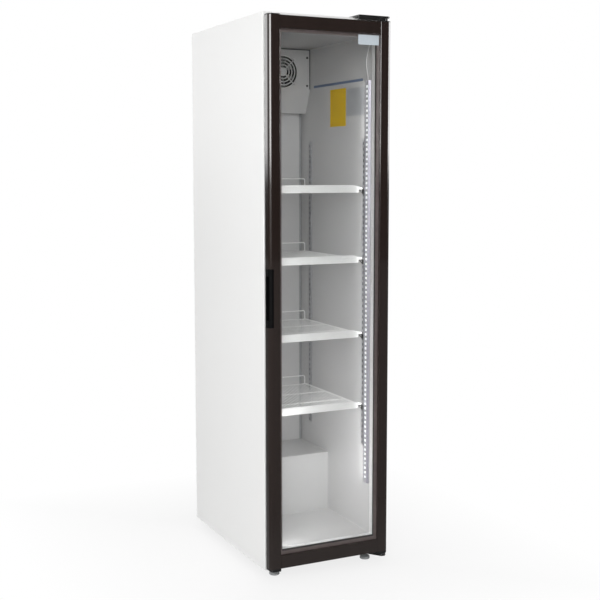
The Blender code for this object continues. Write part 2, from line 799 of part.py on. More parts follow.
def fan_blades(name, centre_xz, middle_y, root, tip, chord_share, pitch, count):
    """Flat pitched blades round an axis along Y, as one mesh of separate blades."""
    half_turn = 180.0 / count * chord_share
    outline = [(root, -root * math.tan(math.radians(half_turn)))]
    outline += arc((0.0, 0.0), tip, -half_turn, half_turn, 4)
    outline += [(root, root * math.tan(math.radians(half_turn)))]
    blade = plate(name + "_one", "XZ", -BLADE_THICKNESS / 2, BLADE_THICKNESS / 2, outline)
    single = blade.data
    bm = bmesh.new()
    for i in range(count):
        start = len(bm.verts)
        bm.from_mesh(single)
        bm.verts.ensure_lookup_table()
        turn = Matrix.Rotation(math.radians(360.0 * i / count), 4, "Y")
        tilt = Matrix.Rotation(math.radians(pitch), 4, "X")
        place = Matrix.Translation((centre_xz[0], middle_y, centre_xz[1])) @ turn @ tilt
        bmesh.ops.transform(bm, matrix=place, verts=bm.verts[start:])
    bpy.data.objects.remove(blade)
    return from_bmesh(name, bm)


def evaporator_fan():
    """Square fan frame with its motor, and the rotor that turns on the motor's shaft."""
    half = FAN_SIZE / 2
    back = COVER_BACK_FACE + FAN_DEPTH
    corners = []
    for quarter, (sx, sz) in enumerate(((1, 1), (-1, 1), (-1, -1), (1, -1))):
        centre = (
            GRILLE_X + sx * (half - FAN_CORNER_RADIUS), GRILLE_Z + sz * (half - FAN_CORNER_RADIUS)
        )
        corners += arc(centre, FAN_CORNER_RADIUS, 90 * quarter, 90 * quarter + 90, 3)
    bore = circle((GRILLE_X, GRILLE_Z), FAN_BORE_RADIUS, FINE_STEPS)
    frame = plate("evaporator_fan_motor", "XZ", COVER_BACK_FACE, back, corners, bore)
    struts = block(
        "fan_struts",
        (GRILLE_X - FAN_BORE_RADIUS - FAN_STRUT / 2, back - FAN_STRUT, GRILLE_Z - FAN_STRUT / 2),
        (GRILLE_X + FAN_BORE_RADIUS + FAN_STRUT / 2, back - FIT, GRILLE_Z + FAN_STRUT / 2),
    )
    upright = block(
        "fan_upright",
        (GRILLE_X - FAN_STRUT / 2, back - FAN_STRUT - FIT, GRILLE_Z - FAN_BORE_RADIUS - FAN_STRUT / 2),
        (GRILLE_X + FAN_STRUT / 2, back - 2 * FIT, GRILLE_Z + FAN_BORE_RADIUS + FAN_STRUT / 2),
    )
    rotor_front = COVER_BACK_FACE + (FAN_DEPTH - FAN_STRUT - FAN_ROTOR_DEPTH) / 2
    rotor_back = rotor_front + FAN_ROTOR_DEPTH
    can_front = rotor_back + 2 * FIT
    shaft_tip = rotor_back - FAN_ROTOR_DEPTH * FAN_BORE_DEPTH_SHARE
    can = turned("fan_can", [
        (0.0, back - shaft_tip), (FAN_SHAFT_RADIUS, back - shaft_tip),
        (FAN_SHAFT_RADIUS, back - can_front), (FAN_HUB_RADIUS, back - can_front),
        (FAN_HUB_RADIUS, 0.0), (0.0, 0.0),
    ], (GRILLE_X, back, GRILLE_Z), "-Y")
    join(frame, struts)
    join(frame, upright)
    join(frame, can)
    part(frame, "machine_black")

    bore_radius = FAN_SHAFT_RADIUS + FIT
    deep = FAN_ROTOR_DEPTH * FAN_BORE_DEPTH_SHARE + 2 * FIT
    hub = turned("evaporator_fan", [
        (0.0, FAN_ROTOR_DEPTH), (FAN_HUB_RADIUS - GRILLE_THICKNESS / 2, FAN_ROTOR_DEPTH),
        (FAN_HUB_RADIUS, FAN_ROTOR_DEPTH - GRILLE_THICKNESS / 2), (FAN_HUB_RADIUS, 0.0),
        (bore_radius, 0.0), (bore_radius, deep), (0.0, deep),
    ], (GRILLE_X, rotor_back, GRILLE_Z), "-Y")
    middle = (rotor_front + rotor_back) / 2
    blades = fan_blades(
        "evaporator_blades", (GRILLE_X, GRILLE_Z), middle, FAN_HUB_RADIUS * FAN_BLADE_ROOT_SHARE,
        FAN_BORE_RADIUS - FAN_TIP_CLEARANCE, FAN_BLADE_CHORD_SHARE, FAN_BLADE_PITCH, FAN_BLADES,
    )
    part(shade_round(join(hub, blades)), "machine_black")


def finned_block(name, low, high, groove, groove_depth, count):
    """A fin pack: a block with upright grooves cut into its front."""
    pack = block(name, low, high)
    pitch = (high[0] - low[0]) / (count + 1)
    grooves = []
    for i in range(count):
        x = low[0] + pitch * (i + 1)
        grooves.append((
            (x - groove / 2, low[1] - OVERRUN, low[2] - OVERRUN),
            (x + groove / 2, low[1] + groove_depth, high[2] + OVERRUN),
        ))
    return cut(pack, blocks(name + "_grooves", grooves))


def evaporator_coil():
    back = INNER_BACK - FIT
    top = CEILING - COIL_DROP
    pack = finned_block(
        "evaporator_coil",
        (-COIL_HALF_WIDTH, back - COIL_DEPTH, top - COIL_HEIGHT),
        (COIL_HALF_WIDTH, back, top),
        COIL_GROOVE, COIL_GROOVE_DEPTH, COIL_GROOVES,
    )
    part(pack, "aluminium")


def thermostat():
    """Thermostat behind the cover, and the knob on its shaft in front of it."""
    half = THERMOSTAT_SIZE / 2
    body = block(
        "thermostat",
        (KNOB_X - half, COVER_BACK_FACE, KNOB_Z - half),
        (KNOB_X + half, COVER_BACK_FACE + THERMOSTAT_DEPTH, KNOB_Z + half),
    )
    shaft_front = COVER_Y - FIT - KNOB_SHAFT_LENGTH
    shaft = rod(
        "thermostat_shaft", (KNOB_X, shaft_front, KNOB_Z),
        (KNOB_X, COVER_BACK_FACE + THERMOSTAT_DEPTH / 2, KNOB_Z), KNOB_SHAFT_RADIUS,
    )
    part(join(body, shaft), "grey_plastic")

    bore = KNOB_SHAFT_RADIUS + FIT
    deep = KNOB_SHAFT_LENGTH + FIT
    knob = turned("thermostat_knob", [
        (0.0, KNOB_DEPTH), (KNOB_RADIUS * KNOB_TOP_SHARE, KNOB_DEPTH),
        (KNOB_RADIUS, KNOB_DEPTH * KNOB_RIM_SHARE),
        (KNOB_RADIUS, 0.0), (bore, 0.0), (bore, deep), (0.0, deep),
    ], (KNOB_X, COVER_Y - FIT, KNOB_Z), "-Y", 24)
    front = COVER_Y - FIT - KNOB_DEPTH
    pointer = block(
        "knob_pointer",
        (KNOB_X - KNOB_POINTER / 2, front - KNOB_POINTER / 2, KNOB_Z),
        (KNOB_X + KNOB_POINTER / 2, front + KNOB_POINTER / 2, KNOB_Z + KNOB_RADIUS * KNOB_RIM_SHARE),
    )
    part(shade_round(join(knob, pointer)), "grey_plastic")


def duct_panel():
    """Shallow duct down the back wall, open at its top, with air slots in its face."""
    back = INNER_BACK - FIT
    bottom = HUMP_Z + FIT
    top = COVER_Z - FIT
    panel = block("duct_panel", (-DUCT_HALF_WIDTH, DUCT_Y, bottom), (DUCT_HALF_WIDTH, back, top))
    inside = block(
        "duct_inside",
        (-DUCT_HALF_WIDTH + DUCT_SHEET, DUCT_Y + DUCT_SHEET, bottom + DUCT_SHEET),
        (DUCT_HALF_WIDTH - DUCT_SHEET, back + OVERRUN, top + OVERRUN),
    )
    cut(panel, inside)
    slots = []
    count = int((top - bottom) / DUCT_SLOT_PITCH)
    for i in range(count):
        z = top - DUCT_SLOT_PITCH * (i + 0.5)
        slots.append((
            (DUCT_SLOT_X - DUCT_SLOT_LENGTH / 2, DUCT_Y - OVERRUN, z - DUCT_SLOT_HEIGHT / 2),
            (DUCT_SLOT_X + DUCT_SLOT_LENGTH / 2, DUCT_Y + DUCT_SHEET + OVERRUN, z + DUCT_SLOT_HEIGHT / 2),
        ))
    part(cut(panel, blocks("duct_slots", slots)), "white_liner")


# Shelving


def pilaster(name, side, middle):
    """Slotted channel on a side wall, with the four shelf clips hooked into it."""
    low = middle - PILASTER_WIDTH / 2
    high = middle + PILASTER_WIDTH / 2
    wall = side * (INNER_HALF - FIT)
    face = side * PILASTER_FACE
    web = side * (PILASTER_FACE + PILASTER_SHEET)
    outline = [
        (wall, low), (face, low), (face, high), (wall, high),
        (wall, high - PILASTER_SHEET), (web, high - PILASTER_SHEET),
        (web, low + PILASTER_SHEET), (wall, low + PILASTER_SHEET),
    ]
    channel = plate(name, "XY", PILASTER_FOOT, PILASTER_TOP, outline)
    slots = []
    inward = min(side * (PILASTER_FACE - OVERRUN / 2), side * (PILASTER_FACE + PILASTER_SHEET * 2))
    outward = max(side * (PILASTER_FACE - OVERRUN / 2), side * (PILASTER_FACE + PILASTER_SHEET * 2))
    count = int(PILASTER_HALF_PITCHES / 2)
    for i in range(count):
        z = PILASTER_FOOT + PILASTER_PITCH * (i + 0.5)
        slots.append((
            (inward, middle - PILASTER_SLOT_WIDTH / 2, z - PILASTER_SLOT_HEIGHT / 2),
            (outward, middle + PILASTER_SLOT_WIDTH / 2, z + PILASTER_SLOT_HEIGHT / 2),
        ))
    cut(channel, blocks(name + "_slots", slots))
    for number, level in enumerate(SHELF_LEVELS, 1):
        seat = level - SHELF_DROP - SHELF_FRAME - FIT
        root = side * (PILASTER_FACE + PILASTER_SHEET / 2)
        tip = side * (PILASTER_FACE - CLIP_REACH)
        clip_outline = [
            (root, seat), (tip, seat), (tip, seat - CLIP_LEDGE), (root, seat - CLIP_HEIGHT)
        ]
        clip = plate(
            f"{name}_clip_{number}", "XZ", middle - CLIP_WIDTH / 2, middle + CLIP_WIDTH / 2, clip_outline
        )
        join(channel, clip)
    part(channel, "zinc_steel")


def shelf(number, level):
    """Welded wire shelf: edge frame, lengthways wires on two cross rods, and a back stop.

    Its level is the top of the price strip, and the wires lie a drop below that.
    """
    name = f"shelf_{number}"
    front = SHELF_FRONT_Y
    back = SHELF_BACK_Y
    deck = level - SHELF_DROP
    low = deck - SHELF_FRAME
    frame = block(name, (-SHELF_HALF, front, low), (SHELF_HALF, back, deck))
    inside = block(
        name + "_inside",
        (-SHELF_HALF + SHELF_FRAME, front + SHELF_FRAME, low - OVERRUN),
        (SHELF_HALF - SHELF_FRAME, back - SHELF_FRAME, deck + OVERRUN),
    )
    cut(frame, inside)
    wire_top = deck - SHELF_WIRE / 4
    wire_low = wire_top - SHELF_WIRE
    sink = SHELF_WIRE / 6
    span = SHELF_HALF - SHELF_FRAME
    rods = []
    for share in SHELF_ROD_SHARES:
        y = front + (back - front) * share
        rods.append((
            (-span - sink, y - SHELF_FRAME / 2, wire_low + sink - SHELF_FRAME),
            (span + sink, y + SHELF_FRAME / 2, wire_low + sink),
        ))
    join(frame, blocks(name + "_rods", rods))
    count = int(2 * span / SHELF_WIRE_PITCH)
    wires = []
    for i in range(count):
        x = (i - (count - 1) / 2) * SHELF_WIRE_PITCH
        wires.append((
            (x - SHELF_WIRE / 2, front + SHELF_FRAME / 2, wire_low),
            (x + SHELF_WIRE / 2, back - SHELF_FRAME / 2, wire_top),
        ))
    join(frame, blocks(name + "_wires", wires))
    stop_half = SHELF_HALF - SHELF_STOP_INSET
    stop_low = deck - SHELF_FRAME / 2
    stop_back = back - SHELF_FRAME / 8
    stop_front = stop_back - SHELF_FRAME * SHELF_STOP_SHARE
    stop = plate(name + "_stop", "XZ", stop_front, stop_back, [
        (-stop_half, stop_low), (stop_half, stop_low), (stop_half, deck + SHELF_STOP_HEIGHT),
        (-stop_half, deck + SHELF_STOP_HEIGHT),
    ], [
        (-stop_half + SHELF_FRAME, stop_low + SHELF_FRAME / 4),
        (stop_half - SHELF_FRAME, stop_low + SHELF_FRAME / 4),
        (stop_half - SHELF_FRAME, deck + SHELF_STOP_HEIGHT - SHELF_FRAME),
        (-stop_half + SHELF_FRAME, deck + SHELF_STOP_HEIGHT - SHELF_FRAME),
    ])
    part(join(frame, stop), "white_wire")

    edge = front - FIT
    half = SHELF_HALF - STRIP_END_GAP
    foot = level - STRIP_HEIGHT
    lip = foot + STRIP_THICKNESS * STRIP_LIP_SHARE
    outline = [
        (edge - STRIP_THICKNESS, level), (edge - STRIP_THICKNESS, foot),
        (edge + STRIP_RETURN, foot), (edge + STRIP_RETURN, lip), (edge, lip), (edge, level),
    ]
    part(plate(f"shelf_strip_{number}", "YZ", -half, half, outline), "white_plastic")


# Interior light


def light():
    """Tapered aluminium profile on the right wall, its light strip, and the short lead above."""
    wall = INNER_HALF - FIT
    face = wall - LED_DEPTH
    low = FRONT + LED_FRONT
    high = low + LED_WIDTH
    seat_low = low + (LED_WIDTH - LED_BOARD_WIDTH) / 2 - FIT
    seat_high = seat_low + LED_BOARD_WIDTH + 2 * FIT
    seat = face + LED_BOARD_DEPTH + FIT
    outline = [
        (wall, low), (face, low + LED_TAPER), (face, seat_low), (seat, seat_low),
        (seat, seat_high), (face, seat_high), (face, high - LED_TAPER), (wall, high),
    ]
    bottom = BOTTOM + LED_BOTTOM
    top = CEILING - LED_TOP_DROP
    part(plate("led_profile", "XY", bottom, top, outline), "aluminium")
    board = block(
        "led_strip",
        (face, seat_low + FIT, bottom + LED_BOARD_WIDTH / 2),
        (face + LED_BOARD_DEPTH, seat_high - FIT, top - LED_BOARD_WIDTH / 2),
    )
    part(board, "light_strip")

    middle = (low + high) / 2
    x = wall - LED_DEPTH / 2
    ceiling = CEILING - FIT
    drop = ceiling - top - FIT
    route = [(x, middle - LED_CABLE_BEND / 2, ceiling)]
    for share, sway in zip(LED_CABLE_DROP_SHARES, (-0.5, 0.0, 0.5, 0.0)):
        route.append((x, middle + LED_CABLE_BEND * sway, ceiling - drop * share))
    route.append((x, middle, top + FIT))
    part(tube("led_cable", route, LED_CABLE_RADIUS, 1), "white_plastic")


def tube(name, route, radius, bevel_resolution):
    """A round tube along a smooth curve through a route, square at both ends."""
    curve = bpy.data.curves.new(name, "CURVE")
    curve.dimensions = "3D"
    curve.bevel_depth = radius
    curve.bevel_resolution = bevel_resolution
    curve.use_fill_caps = True
    curve.resolution_u = 3
    spline = curve.splines.new("NURBS")
    spline.points.add(len(route) - 1)
    for point, place in zip(spline.points, route):
        point.co = (*place, 1.0)
    spline.order_u = 4
    spline.use_endpoint_u = True
    guide = bpy.data.objects.new(name + "_route", curve)
    CUTTERS.objects.link(guide)
    bpy.context.view_layer.update()
    solid = bpy.data.meshes.new_from_object(guide.evaluated_get(bpy.context.evaluated_depsgraph_get()))
    bpy.data.objects.remove(guide)
    bm = bmesh.new()
    bm.from_mesh(solid)
    bpy.data.meshes.remove(solid)
    bmesh.ops.remove_doubles(bm, verts=bm.verts, dist=0.00001)
    bmesh.ops.recalc_face_normals(bm, faces=bm.faces)
    return from_bmesh(name, bm)


# Door


def post_outline(side, width):
    """A post's outer form down to a given width: big front radius, small back radius."""
    points = arc(
        (HALF_WIDTH - POST_RADIUS, DOOR_FRONT + POST_RADIUS), POST_RADIUS, 270, 360, 8
    )
    points += arc(
        (HALF_WIDTH - POST_BACK_RADIUS, DOOR_BACK - POST_BACK_RADIUS), POST_BACK_RADIUS, 0, 90, 2
    )
    points += [(HALF_WIDTH - width, DOOR_BACK), (HALF_WIDTH - width, DOOR_FRONT)]
    return [(side * x, y) for x, y in points]


def post_chamber():
    """Half width range, Y range and corner cut of the hollow in a post."""
    outer = HALF_WIDTH - POST_WALL
    inner = HALF_WIDTH - POST_WIDTH + GLASS_BITE + FIT + POST_WALL
    return inner, outer, DOOR_FRONT + POST_WALL, DOOR_BACK - POST_WALL


def chamber_outline(side, clearance):
    inner, outer, front, back = post_chamber()
    cut_corner = POST_RADIUS * (1 - math.sqrt(0.5)) + POST_WALL
    points = [
        (inner + clearance, front + clearance),
        (outer - cut_corner - clearance, front + clearance),
        (outer - clearance, front + cut_corner + clearance),
        (outer - clearance, back - clearance),
        (inner + clearance, back - clearance),
    ]
    return [(side * x, y) for x, y in points]


def door_post(name, side):
    """Hollow post with a groove for the glass."""
    post = plate(name, "XY", DOOR_BOTTOM, DOOR_TOP, post_outline(side, POST_WIDTH), chamber_outline(side, 0.0))
    reach = side * (HALF_WIDTH - POST_WIDTH - OVERRUN)
    depth = side * (GLASS_HALF + FIT)
    groove = block(
        name + "_groove",
        (min(reach, depth), GLASS_FRONT - FIT, DOOR_BOTTOM - OVERRUN),
        (max(reach, depth), GLASS_BACK + FIT, DOOR_TOP + OVERRUN),
    )
    return cut(post, groove)


def door_rail(name, low, high, groove_low, groove_high):
    """Flat rail between the posts, with a groove for the glass."""
    half = HALF_WIDTH - POST_WIDTH - FIT
    front = DOOR_FRONT + RAIL_SETBACK
    rail = block(name, (-half, front, low), (half, DOOR_BACK, high))
    groove = block(
        name + "_groove",
        (-half - OVERRUN, GLASS_FRONT - FIT, groove_low),
        (half + OVERRUN, GLASS_BACK + FIT, groove_high),
    )
    part(cut(rail, groove), "dark_brown_profile")


def door_cap(name, side, at_top):
    """Moulded end cap with a spigot that plugs the post."""
    thickness = TOP_CAP if at_top else BOTTOM_CAP
    if at_top:
        low, high = DOOR_TOP + FIT, DOOR_TOP + thickness
        spigot_low, spigot_high = DOOR_TOP - CAP_SPIGOT, DOOR_TOP + thickness / 2
    else:
        low, high = DOOR_BOTTOM - thickness, DOOR_BOTTOM - FIT
        spigot_low, spigot_high = DOOR_BOTTOM - thickness / 2, DOOR_BOTTOM + CAP_SPIGOT
    cap = plate(name, "XY", low if at_top else low - OVERRUN, high, post_outline(side, POST_WIDTH))
    if not at_top:
        # The outer bottom corner is rounded off, wider than it is high
        centre_x = HALF_WIDTH + 2 * FIT - CAP_ROUND_WIDTH
        rounding = [
            (side * (centre_x + CAP_ROUND_WIDTH * u), low + CAP_ROUND_HEIGHT * (1 + v))
            for u, v in arc((0.0, 0.0), 1.0, 270, 360, 6)
        ]
        inner = side * (HALF_WIDTH - POST_WIDTH - OVERRUN)
        outer = side * (HALF_WIDTH + 2 * FIT)
        outline = [(inner, low), *rounding, (outer, high + OVERRUN), (inner, high + OVERRUN)]
        boolean(
            cap, plate(name + "_limit", "XZ", DOOR_FRONT - OVERRUN, DOOR_BACK + OVERRUN, outline), "INTERSECT"
        )
    join(cap, plate(name + "_spigot", "XY", spigot_low, spigot_high, chamber_outline(side, FIT)))
    if side > 0:
        hole = rod(
            name + "_pin_hole",
            (HINGE_X, HINGE_Y, min(low, spigot_low) - OVERRUN),
            (HINGE_X, HINGE_Y, max(high, spigot_high) + OVERRUN),
            PIN_RADIUS + FIT, 16,
        )
        cut(cap, hole)
    part(cap, "black_plastic")


def grip_notch():
    """Cutter for the place of the grip in the left post's front and outer side."""
    low = BOTTOM + GRIP_BOTTOM
    return block(
        "grip_notch",
        (-HALF_WIDTH - OVERRUN, DOOR_FRONT - OVERRUN, low - FIT),
        (
            -HALF_WIDTH + GRIP_FACE_WIDTH + FIT, DOOR_FRONT + GRIP_SIDE_DEPTH + FIT,
            low + GRIP_HEIGHT + FIT,
        ),
    )


def handle_grip():
    """Moulded grip let into the left post, with a finger scoop in its outer side."""
    low = BOTTOM + GRIP_BOTTOM
    inner, _, front, _ = post_chamber()
    behind = DOOR_FRONT + GRIP_SIDE_DEPTH
    outline = arc((HALF_WIDTH - POST_RADIUS, DOOR_FRONT + POST_RADIUS), POST_RADIUS, 270, 360, 8)
    outline += [
        (HALF_WIDTH, behind), (inner + FIT, behind), (inner + FIT, front + FIT),
        (HALF_WIDTH - GRIP_FACE_WIDTH, front + FIT), (HALF_WIDTH - GRIP_FACE_WIDTH, DOOR_FRONT),
    ]
    grip = plate("handle_grip", "XY", low, low + GRIP_HEIGHT, [(-x, y) for x, y in outline])
    middle_y = DOOR_FRONT + GRIP_SCOOP_BEHIND_FRONT
    middle_z = low + GRIP_HEIGHT / 2
    scoop = block(
        "grip_scoop",
        (
            -HALF_WIDTH - GRIP_SCOOP_REACH, middle_y - GRIP_SCOOP_WIDTH / 2,
            middle_z - GRIP_SCOOP_HEIGHT / 2,
        ),
        (
            -HALF_WIDTH + GRIP_SCOOP_REACH, middle_y + GRIP_SCOOP_WIDTH / 2,
            middle_z + GRIP_SCOOP_HEIGHT / 2,
        ),
    )
    part(cut(grip, round_edges(scoop, GRIP_SCOOP_ROUND, 2)), "black_plastic")


def glazing():
    """Two panes with a spacer bar between their edges."""
    front = GLASS_FRONT
    part(block(
        "outer_glass", (-GLASS_HALF, front, GLASS_BOTTOM), (GLASS_HALF, front + PANE, GLASS_TOP)
    ), "clear_glass")
    back = GLASS_BACK
    part(block(
        "inner_glass", (-GLASS_HALF, back - PANE, GLASS_BOTTOM), (GLASS_HALF, back, GLASS_TOP)
    ), "clear_glass")
    spacer = ring(
        "glass_spacer", GLASS_HALF, GLASS_BOTTOM, GLASS_TOP, SPACER_WIDTH,
        front + PANE + FIT, back - PANE - FIT,
    )
    part(spacer, "spacer_aluminium")


def door_gasket():
    """Magnetic gasket: a base strip on the door, a narrower neck and a flat magnet head."""
    half = INNER_HALF - GASKET_OVERLAP + GASKET_WIDTH
    low = FLOOR + GASKET_OVERLAP - GASKET_WIDTH
    high = CEILING - GASKET_OVERLAP + GASKET_WIDTH
    front = DOOR_BACK + FIT
    back = FRONT - FIT
    gasket = ring("door_gasket", half, low, high, GASKET_WIDTH, front, front + GASKET_BASE)
    neck = ring(
        "gasket_neck", half - GASKET_NECK_INSET, low + GASKET_NECK_INSET, high - GASKET_NECK_INSET,
        GASKET_WIDTH - 2 * GASKET_NECK_INSET, front + GASKET_BASE / 2, back - GASKET_BASE / 2,
    )
    inset = GASKET_NECK_INSET / 4
    head = ring(
        "gasket_head", half - inset, low + inset, high - inset,
        GASKET_WIDTH - 2 * inset, back - GASKET_BASE, back,
    )
    join(gasket, neck)
    part(join(gasket, head), "grey_rubber")


def door():
    notch = grip_notch()
    left = cut(door_post("door_post_left", -1), notch)
    part(left, "dark_brown_profile")
    part(door_post("door_post_right", 1), "dark_brown_profile")
    top_low = DOOR_TOP - TOP_RAIL_HEIGHT
    bottom_high = DOOR_BOTTOM + BOTTOM_RAIL_HEIGHT
    door_rail("door_rail_top", top_low, DOOR_TOP, top_low - OVERRUN, GLASS_TOP + FIT)
    door_rail("door_rail_bottom", DOOR_BOTTOM, bottom_high, GLASS_BOTTOM - FIT, bottom_high + OVERRUN)
    for side_name, side in (("left", -1), ("right", 1)):
        door_cap("post_cap_top_" + side_name, side, True)
        door_cap("post_cap_bottom_" + side_name, side, False)
    handle_grip()
    glazing()
    door_gasket()


# Hinges


def hinge_outline():
    """Plate fixed to the cabinet, with a nose that reaches over the hinge pin."""
    right = HINGE_X + HINGE_NOSE_RADIUS
    left = right - HINGE_PLATE_WIDTH
    start = FRONT + HINGE_PLATE_START
    end = FRONT + HINGE_PLATE_END
    reach = math.hypot(left - HINGE_X, start - HINGE_Y)
    bearing = math.degrees(math.atan2(start - HINGE_Y, left - HINGE_X))
    tangent = bearing + math.degrees(math.acos(HINGE_NOSE_RADIUS / reach))
    outline = arc((HINGE_X, HINGE_Y), HINGE_NOSE_RADIUS, tangent, 360, 10)
    return outline + [(right, end), (left, end), (left, start)]


def top_hinge_plate(hole):
    """Plate over the door's hinge corner, turned down along its front edge above the door."""
    low = TOP + FIT
    right = HINGE_X + HINGE_NOSE_RADIUS
    left = right - HINGE_BAR_WIDTH
    front = HINGE_Y - HINGE_NOSE_RADIUS
    end = FRONT + HINGE_PLATE_END
    outline = arc((HINGE_X, HINGE_Y), HINGE_NOSE_RADIUS, 270, 360, 6)
    outline += [(right, end), (left, end), (left, front)]
    sheet = plate("top_hinge_plate", "XY", low, low + HINGE_PLATE, outline, hole)
    flange = block(
        "hinge_flange",
        (left, front, DOOR_TOP + TOP_CAP + FIT),
        (right - HINGE_BAR_GAP, front + HINGE_PLATE, low + HINGE_PLATE / 2),
    )
    part(join(sheet, flange), "black_steel")
    return low


def hinges():
    hole = circle((HINGE_X, HINGE_Y), PIN_RADIUS + FIT, 16)
    top_low = top_hinge_plate(hole)
    x, y = foot_places()["foot_front_right"]
    nut_hole = circle((x, y), FOOT_NUT_RADIUS + 4 * FIT, 16)
    low_top = BOTTOM - FIT
    low_plate = plate(
        "bottom_hinge_plate", "XY", low_top - HINGE_PLATE, low_top, hinge_outline(), hole, nut_hole
    )
    part(low_plate, "black_steel")

    # Each pin stands in its plate, and its collar fills the space between plate and cap
    cap_top = DOOR_TOP + TOP_CAP
    pin = turned("top_hinge_pin", [
        (0.0, top_low + HINGE_PLATE), (PIN_RADIUS, top_low + HINGE_PLATE), (PIN_RADIUS, top_low - FIT),
        (PIN_COLLAR_RADIUS, top_low - FIT), (PIN_COLLAR_RADIUS, cap_top + FIT),
        (PIN_RADIUS, cap_top + FIT), (PIN_RADIUS, DOOR_TOP - PIN_REACH), (0.0, DOOR_TOP - PIN_REACH),
    ], (HINGE_X, HINGE_Y, 0.0), steps=16)
    part(shade_round(pin), "zinc_steel")
    cap_bottom = DOOR_BOTTOM - BOTTOM_CAP
    pin = turned("bottom_hinge_pin", [
        (0.0, DOOR_BOTTOM + PIN_REACH), (PIN_RADIUS, DOOR_BOTTOM + PIN_REACH),
        (PIN_RADIUS, cap_bottom - FIT), (PIN_COLLAR_RADIUS, cap_bottom - FIT),
        (PIN_COLLAR_RADIUS, low_top + FIT), (PIN_RADIUS, low_top + FIT),
        (PIN_RADIUS, low_top - HINGE_PLATE), (0.0, low_top - HINGE_PLATE),
    ], (HINGE_X, HINGE_Y, 0.0), steps=16)
    part(shade_round(pin), "zinc_steel")


# Machine compartment


def rear_cover():
    """Louvred cover over the machine compartment, with side flanges and the cord gland."""
    back = BACK - REAR_COVER_RECESS
    face = back - REAR_COVER_SHEET
    low, high = ON_BASE, ROOM_Z - FIT
    outline = [
        (-SHELL_HALF, back), (-SHELL_HALF, back - REAR_COVER_FLANGE),
        (-SHELL_HALF + REAR_COVER_SHEET, back - REAR_COVER_FLANGE),
        (-SHELL_HALF + REAR_COVER_SHEET, face), (SHELL_HALF - REAR_COVER_SHEET, face),
        (SHELL_HALF - REAR_COVER_SHEET, back - REAR_COVER_FLANGE),
        (SHELL_HALF, back - REAR_COVER_FLANGE), (SHELL_HALF, back),
    ]
    cover = plate("rear_cover", "XY", low, high, outline)
    slots = []
    for side in (-1, 1):
        for i in range(LOUVRE_ROWS):
            z = high - LOUVRE_PITCH * (i + 1.5)
            slots.append((
                (side * LOUVRE_X - LOUVRE_LENGTH / 2, face - OVERRUN, z),
                (side * LOUVRE_X + LOUVRE_LENGTH / 2, back + OVERRUN, z + LOUVRE_HEIGHT),
            ))
    cut(cover, blocks("louvre_slots", slots))
    gland_z = low + GLAND_Z
    hole = rod(
        "gland_hole", (GLAND_X, face - OVERRUN, gland_z), (GLAND_X, back + OVERRUN, gland_z),
        GLAND_NECK_RADIUS + FIT, 16,
    )
    part(cut(cover, hole), "zinc_steel")

    flange_back = back + FIT + GLAND_FLANGE
    length = GLAND_FLANGE + GLAND_NECK_LENGTH
    gland = turned("cord_gland", [
        (GLAND_BORE_RADIUS, length), (GLAND_FLANGE_RADIUS, length),
        (GLAND_FLANGE_RADIUS, GLAND_NECK_LENGTH), (GLAND_NECK_RADIUS, GLAND_NECK_LENGTH),
        (GLAND_NECK_RADIUS, 0.0), (GLAND_BORE_RADIUS, 0.0), (GLAND_BORE_RADIUS, length),
    ], (GLAND_X, flange_back - length, gland_z), "Y", 16)
    part(shade_round(gland), "black_plastic")


